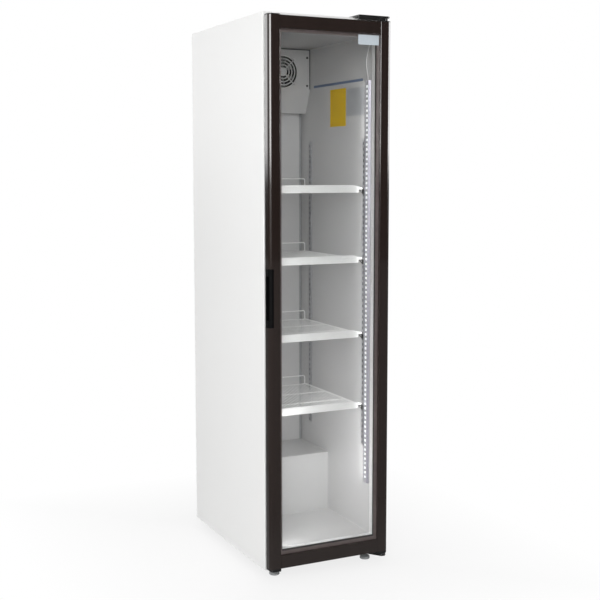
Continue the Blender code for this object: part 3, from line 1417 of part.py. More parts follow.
def compressor():
    """Hermetic shell with a welded seam, on a sprung mounting plate, with its terminal box."""
    radius, height = COMPRESSOR_RADIUS, COMPRESSOR_HEIGHT
    bottom = COMPRESSOR_BASE_Z + COMPRESSOR_PLATE
    dome = radius * COMPRESSOR_DOME_SHARE
    seam = height * COMPRESSOR_SEAM_SHARE
    lower, foot = (radius * share for share in COMPRESSOR_LOWER_SHARES)
    profile = []
    for i in range(5):
        angle = math.radians(90 - 22.5 * i)
        profile.append((radius * math.cos(angle), height - dome + dome * math.sin(angle)))
    profile[0] = (0.0, height)
    profile += [
        (radius, seam + COMPRESSOR_SEAM), (radius + COMPRESSOR_SEAM, seam + COMPRESSOR_SEAM),
        (radius + COMPRESSOR_SEAM, seam), (lower, seam), (lower, dome * COMPRESSOR_BOWL_SHARE),
        (foot, -COMPRESSOR_PLATE / 2), (0.0, -COMPRESSOR_PLATE / 2),
    ]
    centre = (COMPRESSOR_X, COMPRESSOR_CENTRE_Y, bottom)
    shell = turned("compressor", profile, centre, steps=20)
    half = COMPRESSOR_PLATE_HALF
    half_depth = half * COMPRESSOR_PLATE_DEPTH_SHARE
    mount = block(
        "compressor_plate",
        (COMPRESSOR_X - half, COMPRESSOR_CENTRE_Y - half_depth, COMPRESSOR_BASE_Z),
        (COMPRESSOR_X + half, COMPRESSOR_CENTRE_Y + half_depth, COMPRESSOR_BASE_Z + COMPRESSOR_PLATE),
    )
    join(shell, mount)
    for sx in (-1, 1):
        for sy in (-1, 1):
            x = COMPRESSOR_X + sx * (half - GROMMET_RADIUS * GROMMET_INSET_SHARE)
            y = COMPRESSOR_CENTRE_Y + sy * (half_depth - GROMMET_RADIUS * GROMMET_INSET_SHARE)
            join(shell, rod(
                f"grommet_{sx}_{sy}", (x, y, ON_BASE), (x, y, COMPRESSOR_BASE_Z + COMPRESSOR_PLATE / 2),
                GROMMET_RADIUS, 8,
            ))
    box_z = bottom + height * TERMINAL_HEIGHT_SHARE
    box_half = TERMINAL_SIZE / 2
    box_front = COMPRESSOR_CENTRE_Y + radius * TERMINAL_ROOT_SHARE
    box_back = COMPRESSOR_CENTRE_Y + radius + TERMINAL_DEPTH
    terminal = block(
        "terminal_box", (COMPRESSOR_X - box_half, box_front, box_z),
        (COMPRESSOR_X + box_half, box_back, box_z + TERMINAL_SIZE),
    )
    join(shell, terminal)
    stub = rod(
        "discharge_stub", (DISCHARGE_X, COMPRESSOR_CENTRE_Y, DISCHARGE_Z),
        (DISCHARGE_X, DISCHARGE_Y, DISCHARGE_Z), STUB_RADIUS, 8,
    )
    part(shade_round(join(shell, stub)), "machine_black")


def condenser():
    half = CONDENSER_WIDTH / 2
    pack = finned_block(
        "condenser",
        (CONDENSER_X - half, CONDENSER_FRONT, ON_BASE),
        (CONDENSER_X + half, CONDENSER_BACK, ON_BASE + CONDENSER_HEIGHT),
        CONDENSER_GROOVE, CONDENSER_GROOVE_DEPTH, CONDENSER_GROOVES,
    )
    stub_y = CONDENSER_BACK - CONDENSER_DEPTH / 4
    stub = rod(
        "condenser_stub", (CONDENSER_X + half - STUB_RADIUS, stub_y, DISCHARGE_Z),
        (CONDENSER_X + half + STUB_LENGTH, stub_y, DISCHARGE_Z), STUB_RADIUS, 8,
    )
    part(join(pack, stub), "aluminium")

    end_x = CONDENSER_X + half + STUB_LENGTH + FIT
    start_y = DISCHARGE_Y + FIT
    across = (DISCHARGE_X - end_x) / 2
    along = (stub_y - start_y) / 2
    route = [
        (DISCHARGE_X, start_y, DISCHARGE_Z),
        (DISCHARGE_X, start_y + along, DISCHARGE_Z),
        (DISCHARGE_X, stub_y, DISCHARGE_Z),
        (end_x + across, stub_y, DISCHARGE_Z),
        (end_x, stub_y, DISCHARGE_Z),
    ]
    part(shade_round(tube("discharge_pipe", route, PIPE_RADIUS, 1)), "copper")


def condenser_fan():
    """Axial fan behind the condenser, on a motor held up by a bracket."""
    x, z = CONDENSER_X, CONDENSER_FAN_Z
    motor_back = CONDENSER_FAN_FRONT - 2 * FIT
    motor_front = motor_back - MOTOR_LENGTH
    depth = MOTOR_LENGTH
    shaft = depth + MOTOR_SHAFT_LENGTH
    shoulder = MOTOR_RADIUS * (1 - MOTOR_CHAMFER_SHARE)
    chamfer = depth * MOTOR_CHAMFER_SHARE
    motor = turned("condenser_fan_motor", [
        (0.0, shaft), (STUB_RADIUS, shaft), (STUB_RADIUS, depth), (shoulder, depth),
        (MOTOR_RADIUS, depth - chamfer), (MOTOR_RADIUS, chamfer), (shoulder, 0.0), (0.0, 0.0),
    ], (x, motor_front, z), "Y")
    half = MOTOR_BRACKET_WIDTH / 2
    bracket_front = motor_front + MOTOR_BRACKET_DEPTH / 2
    bracket_top = z - MOTOR_RADIUS * MOTOR_BRACKET_TOP_SHARE
    bracket = block(
        "motor_bracket", (x - half, bracket_front, ON_BASE),
        (x + half, bracket_front + MOTOR_BRACKET_DEPTH, bracket_top),
    )
    part(shade_round(join(motor, bracket)), "machine_black")

    bore = STUB_RADIUS + FIT
    deep = MOTOR_SHAFT_LENGTH + FIT
    hub = turned("condenser_fan", [
        (0.0, CONDENSER_FAN_DEPTH),
        (CONDENSER_FAN_HUB * CONDENSER_HUB_CHAMFER_SHARE, CONDENSER_FAN_DEPTH),
        (CONDENSER_FAN_HUB, CONDENSER_FAN_DEPTH * CONDENSER_HUB_CHAMFER_SHARE), (CONDENSER_FAN_HUB, 0.0),
        (bore, 0.0), (bore, deep), (0.0, deep),
    ], (x, CONDENSER_FAN_FRONT, z), "Y")
    middle = CONDENSER_FAN_FRONT + CONDENSER_FAN_DEPTH / 2
    blades = fan_blades(
        "condenser_blades", (x, z), middle, CONDENSER_FAN_HUB * FAN_BLADE_ROOT_SHARE,
        CONDENSER_FAN_RADIUS, CONDENSER_FAN_CHORD_SHARE, CONDENSER_FAN_PITCH, CONDENSER_FAN_BLADES,
    )
    part(shade_round(join(hub, blades)), "aluminium")


def build():
    side_panel("left_side_panel", -1)
    side_panel("right_side_panel", 1)
    top_panel()
    front_frame()
    base_plate()
    feet()
    insulation_foam()
    inner_liner()
    back_panel()
    evaporator_cover()
    fan_grille()
    evaporator_fan()
    evaporator_coil()
    thermostat()
    duct_panel()
    pilaster("pilaster_front_left", -1, FRONT + PILASTER_FRONT)
    pilaster("pilaster_front_right", 1, FRONT + PILASTER_FRONT)
    pilaster("pilaster_rear_left", -1, PILASTER_REAR_Y)
    pilaster("pilaster_rear_right", 1, PILASTER_REAR_Y)
    for number, level in enumerate(SHELF_LEVELS, 1):
        shelf(number, level)
    light()
    door()
    hinges()
    rear_cover()
    compressor()
    condenser()
    condenser_fan()


build()
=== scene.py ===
import math

import bpy
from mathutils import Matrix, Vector


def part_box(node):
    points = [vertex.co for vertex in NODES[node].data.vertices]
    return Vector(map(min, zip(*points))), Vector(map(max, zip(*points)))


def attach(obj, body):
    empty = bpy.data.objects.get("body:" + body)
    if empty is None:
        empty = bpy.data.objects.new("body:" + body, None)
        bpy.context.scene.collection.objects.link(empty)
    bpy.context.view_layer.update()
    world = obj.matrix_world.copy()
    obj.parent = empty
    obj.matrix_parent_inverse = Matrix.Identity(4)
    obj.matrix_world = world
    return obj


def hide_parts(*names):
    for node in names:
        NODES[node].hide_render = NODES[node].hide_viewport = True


bl_info = {
    "name": "Display refrigerator",
    "version": (1, 0, 0),
    "blender": (4, 5, 0),
    "location": "3D View > Sidebar > Refrigerator",
    "description": "Models and finishes an upright display refrigerator round its packed frame",
    "category": "Object",
}

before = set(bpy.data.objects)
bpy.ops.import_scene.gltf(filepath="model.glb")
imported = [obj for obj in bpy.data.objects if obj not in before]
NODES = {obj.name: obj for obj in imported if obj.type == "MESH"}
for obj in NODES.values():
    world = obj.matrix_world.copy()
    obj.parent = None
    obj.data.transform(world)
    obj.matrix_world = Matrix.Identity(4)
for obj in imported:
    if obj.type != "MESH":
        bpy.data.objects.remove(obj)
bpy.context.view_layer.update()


def low(node):
    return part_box(node)[0]


def high(node):
    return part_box(node)[1]


# Cabinet and door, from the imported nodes
HALF_WIDTH = high("right_side_panel").x
CABINET_FRONT = low("left_side_panel").y
CABINET_BACK = high("left_side_panel").y
BOTTOM = low("left_side_panel").z
TOP = high("left_side_panel").z
LINER_SHEET = 0.0015
INNER_HALF = high("inner_liner").x - LINER_SHEET
FLOOR = low("inner_liner").z + LINER_SHEET
CEILING = high("inner_liner").z - LINER_SHEET
DOOR_FRONT = low("door_post_left").y
DOOR_BACK = high("door_post_left").y
DOOR_LOW = low("door_post_left").z
DOOR_HIGH = high("door_post_left").z
POST_INNER = low("door_post_right").x
GLASS_HALF = high("outer_glass").x
GLASS_FRONT = low("outer_glass").y
GLASS_BACK = high("inner_glass").y
# Clearance between fitted parts, folded panels' sheet and front flange, and how far a cutter runs past
FIT = 0.0003
SHEET = 0.0008
FLANGE = 0.028
OVER = 0.004
# Closest points that stay two, and least height of a step
MERGE = 0.000002
HAIR = 0.0001
LEVELS = (1, 2, 3, 4)


def strip_top(level):
    return high(f"shelf_strip_{level}").z


def centre_of(node):
    bottom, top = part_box(node)
    return (bottom + top) / 2


# Camera, from the photograph's perspective
CAMERA_PLACE = (-1.707, -3.6201, 1.3875)
CAMERA_YAW = 26.223
CAMERA_PITCH = 6.025
CAMERA_LENS = 65.56
CAMERA_SHIFT = (-0.009, -0.02)


# Modelling steps


def object_mode():
    bpy.ops.object.mode_set(mode="OBJECT")


def deselect():
    if bpy.context.object and bpy.context.object.mode != "OBJECT":
        object_mode()
    bpy.ops.object.select_all(action="DESELECT")


def only(obj):
    """Select one object and make it the active one."""
    deselect()
    obj.select_set(True)
    bpy.context.view_layer.objects.active = obj
    return obj


def edit_mode():
    bpy.ops.object.mode_set(mode="EDIT")


def edit_all():
    """Go into edit mode with the whole mesh selected."""
    edit_mode()
    bpy.ops.mesh.select_all(action="SELECT")


def face_out():
    """Point all faces outwards and leave edit mode."""
    bpy.ops.mesh.select_all(action="SELECT")
    bpy.ops.mesh.normals_make_consistent(inside=False)
    object_mode()


def apply_place():
    bpy.ops.object.transform_apply(location=True, rotation=True, scale=True)


def named(obj, name):
    obj.name = obj.data.name = name
    return obj


def new_piece(name):
    """Name the primitive just added and put its place into its mesh."""
    obj = named(bpy.context.object, name)
    apply_place()
    return obj


def put(obj, place, turn=(0, 0, 0), scale=(1, 1, 1)):
    """Scale a piece, turn it about the origin by degrees and move it, all in its mesh."""
    only(obj)
    obj.scale = scale
    obj.rotation_euler = [math.radians(a) for a in turn]
    obj.location = place
    apply_place()
    return obj


def block(name, corner, opposite):
    """A box between two corners."""
    deselect()
    corner, opposite = Vector(corner), Vector(opposite)
    bpy.ops.mesh.primitive_cube_add(size=1.0, location=(corner + opposite) / 2, scale=opposite - corner)
    return new_piece(name)


def rod(name, start, end, radius, sides=16):
    """A round bar between two points."""
    deselect()
    start, end = Vector(start), Vector(end)
    along = end - start
    bpy.ops.mesh.primitive_cylinder_add(
        vertices=sides, radius=radius, depth=along.length, location=(start + end) / 2,
        rotation=Vector((0, 0, 1)).rotation_difference(along).to_euler(),
    )
    return new_piece(name)


def bar(name, axis, start, end, outline):
    """A closed outline across an axis, extruded along it."""
    deselect()
    bpy.ops.mesh.primitive_circle_add(vertices=len(outline), fill_type="NGON")
    obj = new_piece(name)
    for vertex, (u, v) in zip(obj.data.vertices, outline):
        vertex.co = {"X": (start, u, v), "Y": (u, start, v), "Z": (u, v, start)}[axis]
    length = end - start
    step = {"X": (length, 0, 0), "Y": (0, length, 0), "Z": (0, 0, length)}[axis]
    edit_all()
    bpy.ops.mesh.extrude_region_move(TRANSFORM_OT_translate={"value": step})
    face_out()
    return obj


# Turns in degrees that bring a piece from the Z axis to another
TURNS = {"Z": (0, 0, 0), "-Y": (90, 0, 0), "Y": (-90, 0, 0), "-X": (0, -90, 0)}


def turned(name, centre, axis, profile, sides=32):
    """A round piece drawn up along an axis through (radius, height) steps."""
    deselect()
    radius, height = profile[0]
    bpy.ops.mesh.primitive_circle_add(
        vertices=sides, radius=radius, fill_type="NGON", location=(0, 0, height)
    )
    obj = new_piece(name)
    edit_all()
    for next_radius, next_height in profile[1:]:
        bpy.ops.mesh.extrude_region_move(
            TRANSFORM_OT_translate={"value": (0, 0, next_height - height)}
        )
        share = next_radius / radius
        bpy.ops.transform.resize(value=(share, share, 1), center_override=(0, 0, next_height))
        radius, height = next_radius, next_height
    bpy.ops.mesh.select_all(action="SELECT")
    bpy.ops.mesh.remove_doubles(threshold=MERGE)
    face_out()
    return put(obj, centre, TURNS[axis])


def wire(name, points, radius, bend, closed=False):
    """A round wire through points, with its corners rounded."""
    deselect()
    bpy.ops.mesh.primitive_plane_add(size=1.0)
    obj = new_piece(name)
    edit_all()
    bpy.ops.mesh.merge(type="CENTER")
    points = [Vector(p) for p in points]
    bpy.ops.transform.translate(value=points[0])
    for last, point in zip(points, points[1:]):
        bpy.ops.mesh.extrude_vertices_move(TRANSFORM_OT_translate={"value": point - last})
    count = len(points)
    if closed:
        object_mode()
        for vertex in obj.data.vertices:
            vertex.select = vertex.index in (0, count - 1)
        edit_mode()
        bpy.ops.mesh.edge_face_add()
    object_mode()
    for vertex in obj.data.vertices:
        vertex.select = closed or 0 < vertex.index < count - 1
    edit_mode()
    bpy.ops.mesh.bevel(offset=bend, segments=4, affect="VERTICES")
    object_mode()
    bpy.ops.object.convert(target="CURVE")
    obj.data.bevel_depth = radius
    obj.data.bevel_resolution = 2
    obj.data.use_fill_caps = True
    bpy.ops.object.convert(target="MESH")
    return obj


def pick(obj, kind, test):
    """Go into edit mode with only the elements that pass a test selected."""
    only(obj)
    edit_mode()
    bpy.ops.mesh.select_mode(type=kind)
    bpy.ops.mesh.select_all(action="DESELECT")
    object_mode()
    mesh = obj.data
    if kind == "FACE":
        for face in mesh.polygons:
            face.select = bool(test(face.center, face.normal))
    if kind == "EDGE":
        for edge in mesh.edges:
            a, b = (mesh.vertices[i].co for i in edge.vertices)
            edge.select = bool(test(a, b))
    edit_mode()


def modified(obj, kind, **settings):
    """Add a modifier to a piece and apply it."""
    only(obj)
    step = obj.modifiers.new("step", kind)
    for key, value in settings.items():
        setattr(step, key, value)
    bpy.ops.object.modifier_apply(modifier=step.name)
    return obj


def soften(obj, width, segments=2, angle=30.0):
    """Round every edge of a piece that is sharper than an angle."""
    return modified(
        obj, "BEVEL", width=width, segments=segments, limit_method="ANGLE", angle_limit=math.radians(angle)
    )


def cut(obj, tool):
    """Take a tool's shape out of a piece, and the tool away."""
    modified(obj, "BOOLEAN", operation="DIFFERENCE", object=tool)
    bpy.data.objects.remove(tool)
    return obj


def repeat(obj, count, offset):
    """Copy a piece in a row."""
    return modified(
        obj, "ARRAY", count=count, use_relative_offset=False, use_constant_offset=True,
        constant_offset_displace=offset,
    )


def joined(name, pieces):
    only(pieces[0])
    for obj in pieces[1:]:
        obj.select_set(True)
    bpy.ops.object.join()
    return named(pieces[0], name)


def duplicate(obj, name):
    only(obj)
    bpy.ops.object.duplicate(linked=False)
    return named(bpy.context.object, name)


def copied(obj, name, offset=(0, 0, 0), turn=(0, 0, 0), scale=(1, 1, 1)):
    """A copy with a mesh of its own, scaled and turned about the origin and then moved."""
    return put(duplicate(obj, name), offset, turn, scale)


def mirrored(obj, name):
    """A copy on the other side of the middle."""
    return copied(obj, name, scale=(-1, 1, 1))


def traced(name, node):
    """A merged copy of a CAD node, ready to be worked on."""
    obj = duplicate(NODES[node], name)
    obj.parent = None
    for key in [k for k in obj.keys() if k.startswith("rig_")]:
        del obj[key]
    edit_all()
    bpy.ops.mesh.remove_doubles(threshold=0.000005)
    bpy.ops.mesh.customdata_custom_splitnormals_clear()
    bpy.ops.mesh.dissolve_limited(angle_limit=math.radians(1.0))
    object_mode()
    return obj


def settle(obj, body, look, stands_for=(), angle=35.0):
    """Merge, point outwards, shade, finish and hand a piece to its body."""
    only(obj)
    edit_all()
    bpy.ops.mesh.select_mode(type="VERT")
    bpy.ops.mesh.remove_doubles(threshold=MERGE)
    face_out()
    bpy.ops.object.shade_smooth_by_angle(angle=math.radians(angle))
    # Flat faces keep their own direction next to rounded edges
    modified(obj, "WEIGHTED_NORMAL", keep_sharp=True)
    obj.data.materials.clear()
    obj.data.materials.append(finish(look))
    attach(obj, body)
    if stands_for:
        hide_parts(*stands_for)
    return obj


def refined(name, node, body, look, width, angle=40.0):
    """A CAD node's shape with rounded edges, in that node's place."""
    return settle(soften(traced(name, node), width, angle=angle), body, look, [node])


def card(name, corner, opposite, axis):
    """A thin plate with rounded corners; axis is the index of its thickness."""
    plate = block(name, corner, opposite)
    pick(plate, "EDGE", lambda a, b: abs(a[axis] - b[axis]) > HAIR)
    bpy.ops.mesh.bevel(offset=0.002, segments=3, affect="EDGES")
    object_mode()
    return plate


def dress(look, *nodes):
    """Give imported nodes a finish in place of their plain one."""
    for node in nodes:
        for slot in NODES[node].material_slots:
            slot.material = finish(look)


def on_each_level(model, stem, look, node, angle=35.0):
    """Copy the top level's piece to the other levels, and hand each to its shelf."""
    pieces = [model]
    for level in LEVELS[1:]:
        drop = strip_top(level) - strip_top(1)
        pieces.append(copied(model, f"{stem}_{level}", (0, 0, drop)))
    for level, obj in zip(LEVELS, pieces):
        settle(obj, f"shelf_{level}", look, [f"{node}_{level}"], angle=angle)


def arc(centre, radius, first, last, steps):
    """Points on an arc between two angles in degrees."""
    angles = [math.radians(first + (last - first) * i / steps) for i in range(steps + 1)]
    return [(centre[0] + radius * math.cos(a), centre[1] + radius * math.sin(a)) for a in angles]


# Finishes

# name: colour, roughness, metallic, tint (scale, amount), gloss (scale, spread),
# grain (scale, height in micrometres)
FINISHES = {
    "white_paint": ((0.875, 0.875, 0.868), 0.32, 0.0, (1.3, 0.005), (4, 0.02), (240, 4)),
    "liner_paint": ((0.665, 0.66, 0.66), 0.07, 0.0, (3, 0.01), (8, 0.02), (260, 2)),
    "brown_lacquer": ((0.021, 0.014, 0.012), 0.14, 0.0, (14, 0.12), (20, 0.03), (200, 1)),
    "black_moulding": ((0.011, 0.011, 0.012), 0.42, 0.0, (40, 0.15), (60, 0.07), (900, 20)),
    "black_steel": ((0.014, 0.0135, 0.013), 0.3, 0.0, (30, 0.15), (40, 0.06), (600, 10)),
    "grip_moulding": ((0.004, 0.004, 0.0043), 0.4, 0.0, (40, 0.15), (60, 0.05), (900, 20)),
    "grey_rubber": ((0.05, 0.046, 0.043), 0.68, 0.0, (30, 0.15), (80, 0.06), (900, 20)),
    "zinc": ((0.6, 0.6, 0.59), 0.38, 1.0, (35, 0.16), (45, 0.09), (300, 10)),
    "spacer": ((0.19, 0.155, 0.15), 0.35, 0.3, (60, 0.1), (50, 0.06), (600, 5)),
    "wire_coat": ((0.93, 0.93, 0.92), 0.3, 0.0, (25, 0.03), (60, 0.05), (600, 5)),
    "white_moulding": ((0.94, 0.94, 0.93), 0.4, 0.0, (18, 0.02), (40, 0.04), (800, 5)),
    "grille_moulding": ((0.76, 0.76, 0.76), 0.42, 0.0, (25, 0.03), (50, 0.05), (800, 5)),
    "grey_moulding": ((0.42, 0.43, 0.44), 0.46, 0.0, (25, 0.06), (50, 0.06), (900, 10)),
    "slotted_steel": ((0.5, 0.5, 0.52), 0.42, 0.5, (30, 0.1), (45, 0.06), (400, 5)),
    # Grey of the strips beside the duct panel, painted shade of the gaps there
    "grey_seal": ((0.4, 0.41, 0.42), 0.6, 0.0, (30, 0.1), (60, 0.06), (900, 10)),
    # Dark colour of the housing seals, and painted shade on the strips inside the pilaster rails
    "seal": ((0.07, 0.072, 0.075), 0.6, 0.0, (30, 0.12), (60, 0.06), (900, 10)),
    "light_profile": ((0.6, 0.58, 0.66), 0.38, 0.5, (8, 0.04), (30, 0.05), (600, 3)),
    "foam": ((0.8, 0.7, 0.44), 0.92, 0.0, (60, 0.12), (60, 0.03), (500, 300)),
    "aluminium": ((0.72, 0.73, 0.74), 0.34, 1.0, (8, 0.05), (30, 0.07), (900, 10)),
    "fins": ((0.66, 0.67, 0.68), 0.36, 1.0, (20, 0.1), (30, 0.08), (200, 50)),
    "copper": ((0.7, 0.33, 0.2), 0.28, 1.0, (60, 0.22), (50, 0.1), (500, 10)),
    "machine_enamel": ((0.016, 0.016, 0.018), 0.3, 0.0, (25, 0.2), (30, 0.1), (250, 80)),
    "yellow_label": ((0.88, 0.57, 0.03), 0.5, 0.0, (60, 0.05), (60, 0.05), (900, 10)),
    "silver_plate": ((0.5, 0.51, 0.53), 0.36, 0.2, (50, 0.06), (50, 0.06), (900, 10)),
    "pale_plate": ((0.52, 0.575, 0.62), 0.38, 0.0, (50, 0.04), (50, 0.05), (900, 10)),
    "blue_line": ((0.17, 0.22, 0.34), 0.42, 0.0, (50, 0.06), (50, 0.05), (900, 5)),
}
# Finishes whose pattern is drawn out or pressed together along the axes
STRETCHED = {
    "brown_lacquer": (1, 1, 0.08), "light_profile": (12, 12, 0.3), "aluminium": (12, 12, 0.3),
    "fins": (30, 1, 1), "silver_plate": (6, 1, 1),
}
# Finishes whose edges are rubbed paler or darker: colour and width of the rubbed band
WORN = {
    "black_moulding": ((0.035, 0.035, 0.036), 0.0008),
    "zinc": ((0.40, 0.40, 0.40), 0.0008),
    "black_steel": ((0.045, 0.043, 0.042), 0.0007),
}
# Finishes with a clear coat (weight, roughness), and finishes that shine less (specular level)
COATED = {"brown_lacquer": (1.0, 0.03)}
DULL = {"grip_moulding": 0.06, "seal": 0.2, "white_paint": 0.08, "yellow_label": 0.1}
WHITE = (1.0, 1.0, 1.0, 1.0)
MICROMETRE = 0.000001


class Tree:
    """The node tree of a material or world, with short ways to add and link nodes."""

    def __init__(self, owner):
        owner.use_nodes = True
        self.nodes = owner.node_tree.nodes
        self.links = owner.node_tree.links
        self.shader = self.nodes.get("Principled BSDF")

    def fill(self, socket, value):
        """Link a socket to another one, or set its value."""
        if isinstance(value, bpy.types.NodeSocket):
            self.links.new(value, socket)
        else:
            socket.default_value = value

    def add(self, kind, values=None, **settings):
        node = self.nodes.new(kind)
        for key, value in settings.items():
            setattr(node, key, value)
        for key, value in (values or {}).items():
            self.fill(node.inputs[key], value)
        return node

    def set(self, key, value):
        self.fill(self.shader.inputs[key], value)

    def show(self, shader):
        """Give the material another surface shader."""
        self.fill(self.nodes["Material Output"].inputs["Surface"], shader)

    def choose(self, share, first, second):
        """Mix two shaders."""
        return self.add("ShaderNodeMixShader", {0: share, 1: first, 2: second}).outputs["Shader"]

    def rays(self):
        return self.add("ShaderNodeLightPath").outputs

    def place(self, stretch=(1, 1, 1)):
        place = self.add("ShaderNodeTexCoord").outputs["Object"]
        return self.add("ShaderNodeMapping", {"Vector": place, "Scale": stretch}).outputs["Vector"]

    def split(self, vector):
        return self.add("ShaderNodeSeparateXYZ", {"Vector": vector}).outputs

    def cloud(self, place, scale, detail=3.0):
        """Soft noise spread over 0 to 1."""
        noise = self.add("ShaderNodeTexNoise", {"Vector": place, "Scale": scale, "Detail": detail})
        return self.between(noise.outputs["Fac"], 0.32, 0.68, 0.0, 1.0)

    def between(self, value, from_low, from_high, to_low, to_high):
        return self.add("ShaderNodeMapRange", {
            "Value": value, "From Min": from_low, "From Max": from_high,
            "To Min": to_low, "To Max": to_high,
        }).outputs["Result"]

    def math(self, operation, a, b=0.0):
        return self.add("ShaderNodeMath", {0: a, 1: b}, operation=operation).outputs["Value"]

    def blend(self, share, first, second):
        """Mix two colours."""
        return self.add("ShaderNodeMix", {0: share, 6: first, 7: second}, data_type="RGBA").outputs[2]

    def gloss(self, cloud, least, most):
        self.set("Roughness", self.between(cloud, 0.0, 1.0, least, most))

    def bump(self, grain, height):
        bump = self.add("ShaderNodeBump", {"Height": grain, "Distance": height, "Strength": 1.0})
        self.set("Normal", bump.outputs["Normal"])


def rgba(colour, share=1.0):
    return (*[min(1.0, c * share) for c in colour], 1.0)


def finish(name):
    """Return a finish's material, made once."""
    found = bpy.data.materials.get("fridge_" + name)
    if found:
        return found
    material = bpy.data.materials.new("fridge_" + name)
    if name in SPECIAL:
        SPECIAL[name](Tree(material))
    else:
        plain_finish(Tree(material), name)
    return material


def plain_finish(tree, name):
    """A painted, moulded or metal finish from its row in the table."""
    colour, roughness, metallic, tint, gloss, grain = FINISHES[name]
    look = bpy.context.scene.fridge_look
    chosen = {"white_paint": look.cabinet_colour, "brown_lacquer": look.frame_colour}.get(name)
    colour = tuple(chosen) if chosen else colour
    place = tree.place(STRETCHED.get(name, (1, 1, 1)))
    scale, amount = tint
    shade = tree.blend(tree.cloud(place, scale, 5.0), rgba(colour, 1 - amount), rgba(colour, 1 + amount / 2))
    if name in WORN:
        worn, width = WORN[name]
        bevel = tree.add("ShaderNodeBevel", {"Radius": width}, samples=4)
        geometry = tree.add("ShaderNodeNewGeometry")
        facing = tree.add("ShaderNodeVectorMath", {
            0: bevel.outputs["Normal"], 1: geometry.outputs["Normal"],
        }, operation="DOT_PRODUCT").outputs["Value"]
        edge = tree.between(facing, 0.98, 0.80, 0.0, 1.0)
        rubbed = tree.math("MULTIPLY", edge, tree.cloud(place, 180.0))
        shade = tree.blend(rubbed, shade, rgba(worn))
    tree.set("Base Color", shade)
    scale, spread = gloss
    tree.gloss(tree.cloud(place, scale, 4.0), roughness - spread, roughness + spread)
    tree.set("Metallic", metallic)
    if name in COATED:
        weight, smooth = COATED[name]
        tree.set("Coat Weight", weight)
        tree.set("Coat Roughness", smooth)
    if name in DULL:
        tree.set("Specular IOR Level", DULL[name])
    scale, height = grain
    tree.bump(tree.cloud(place, scale, 2.0), height * MICROMETRE)


def glass_finish(tree):
    """Clear float glass, very slightly uneven in tint; lamps shine through it."""
    place = tree.place((1, 1, 0.35))
    tree.set("Base Color", tree.blend(tree.cloud(place, 6.0, 5.0), (0.994, 0.998, 0.996, 1.0), WHITE))
    tree.set("Transmission Weight", 1.0)
    tree.set("IOR", 1.45)
    tree.set("Roughness", 0.0)
    clear = tree.add("ShaderNodeBsdfTransparent", {"Color": (0.985, 0.99, 0.988, 1.0)}).outputs["BSDF"]
    tree.show(tree.choose(tree.rays()["Is Shadow Ray"], tree.shader.outputs["BSDF"], clear))


def chip_finish(tree):
    """Small chips of the light strip, which glow a little."""
    tree.set("Base Color", (0.88, 0.89, 0.90, 1.0))
    tree.gloss(tree.cloud(tree.place(), 60.0), 0.25, 0.35)
    tree.set("Emission Color", (0.93, 0.96, 1.0, 1.0))
    tree.set("Emission Strength", bpy.context.scene.fridge_look.light_level)


def board_finish(tree):
    """White lacquered circuit board with fine pale tracks."""
    track_place, track_half = 0.0042, 0.0005
    place = tree.place()
    across = tree.math("ABSOLUTE", tree.math("SUBTRACT", tree.split(place)["Y"], LED_MIDDLE_Y))
    off_track = tree.math("ABSOLUTE", tree.math("SUBTRACT", across, track_place))
    track = tree.math("LESS_THAN", off_track, track_half)
    shade = tree.blend(tree.cloud(place, 40.0), (0.46, 0.47, 0.49, 1.0), (0.50, 0.51, 0.53, 1.0))
    tree.set("Base Color", tree.blend(track, shade, (0.62, 0.60, 0.50, 1.0)))
    tree.gloss(tree.cloud(place, 80.0), 0.30, 0.42)
    tree.bump(tree.cloud(place, 900.0), 10 * MICROMETRE)


SPECIAL = {"glass": glass_finish, "glow": chip_finish, "board": board_finish}
LED_MIDDLE_Y = centre_of("led_strip").y


# Settings


def distance(name, description, default, least, most):
    return bpy.props.FloatProperty(
        name=name, description=description, default=default, min=least, max=most,
        subtype="DISTANCE", unit="LENGTH",
    )


def power(name, description, default):
    return bpy.props.FloatProperty(
        name=name, description=description, default=default, min=0.0, max=500.0,
        subtype="POWER", unit="POWER",
    )


def paint(name, description, look):
    return bpy.props.FloatVectorProperty(
        name=name, description=description, default=FINISHES[look][0], size=3, min=0.0, max=1.0,
        subtype="COLOR",
    )


class FridgeLook(bpy.types.PropertyGroup):
    cabinet_colour: paint("Cabinet paint", "Colour of the painted outside panels", "white_paint")
    frame_colour: paint("Door frame", "Colour of the lacquered door profiles", "brown_lacquer")
    light_level: bpy.props.FloatProperty(
        name="Light strip", description="Strength of the glow of the light strip's chips",
        default=1.0, min=0.0, max=50.0,
    )


class FridgeSizes(bpy.types.PropertyGroup):
    sheet_bend: distance("Panel bend", "Outer radius of the folded cabinet panels", 0.0022, 0.001, 0.006)
    post_round: distance("Post corner", "Radius of the posts' outer front corner", 0.014, 0.004, 0.018)
    wire_pitch: distance("Wire pitch", "Distance between the shelves' wires", 0.0125, 0.008, 0.05)
    chip_pitch: distance("Chip pitch", "Distance between the light strip's chips", 0.0167, 0.01, 0.05)


class FridgeStage(bpy.types.PropertyGroup):
    room_light: bpy.props.FloatProperty(
        name="Room light", description="Strength of the even light from all round",
        default=0.44, min=0.0, max=5.0,
    )
    side_lamp: power("Side lamp", "Power of the lamp on the left", 59.0)
    front_lamp: power("Front lamp", "Power of the lamp before the door", 102.0)
    top_lamp: power("Top lamp", "Power of the lamp overhead", 10.0)
    strip_lamp: power("Strip lamp", "Power of the light that the light strip gives inside", 0.35)
    return_lamp: power("Return lamp", "Power of the light back from the left wall inside", 0.42)
    deck_lamps: power("Deck lamps", "Power of the light that falls on each shelf", 0.06)
    low_lamp: power("Low lamp", "Power of the light in the lowest compartment", 0.50)


# Screws, modelled once and copied


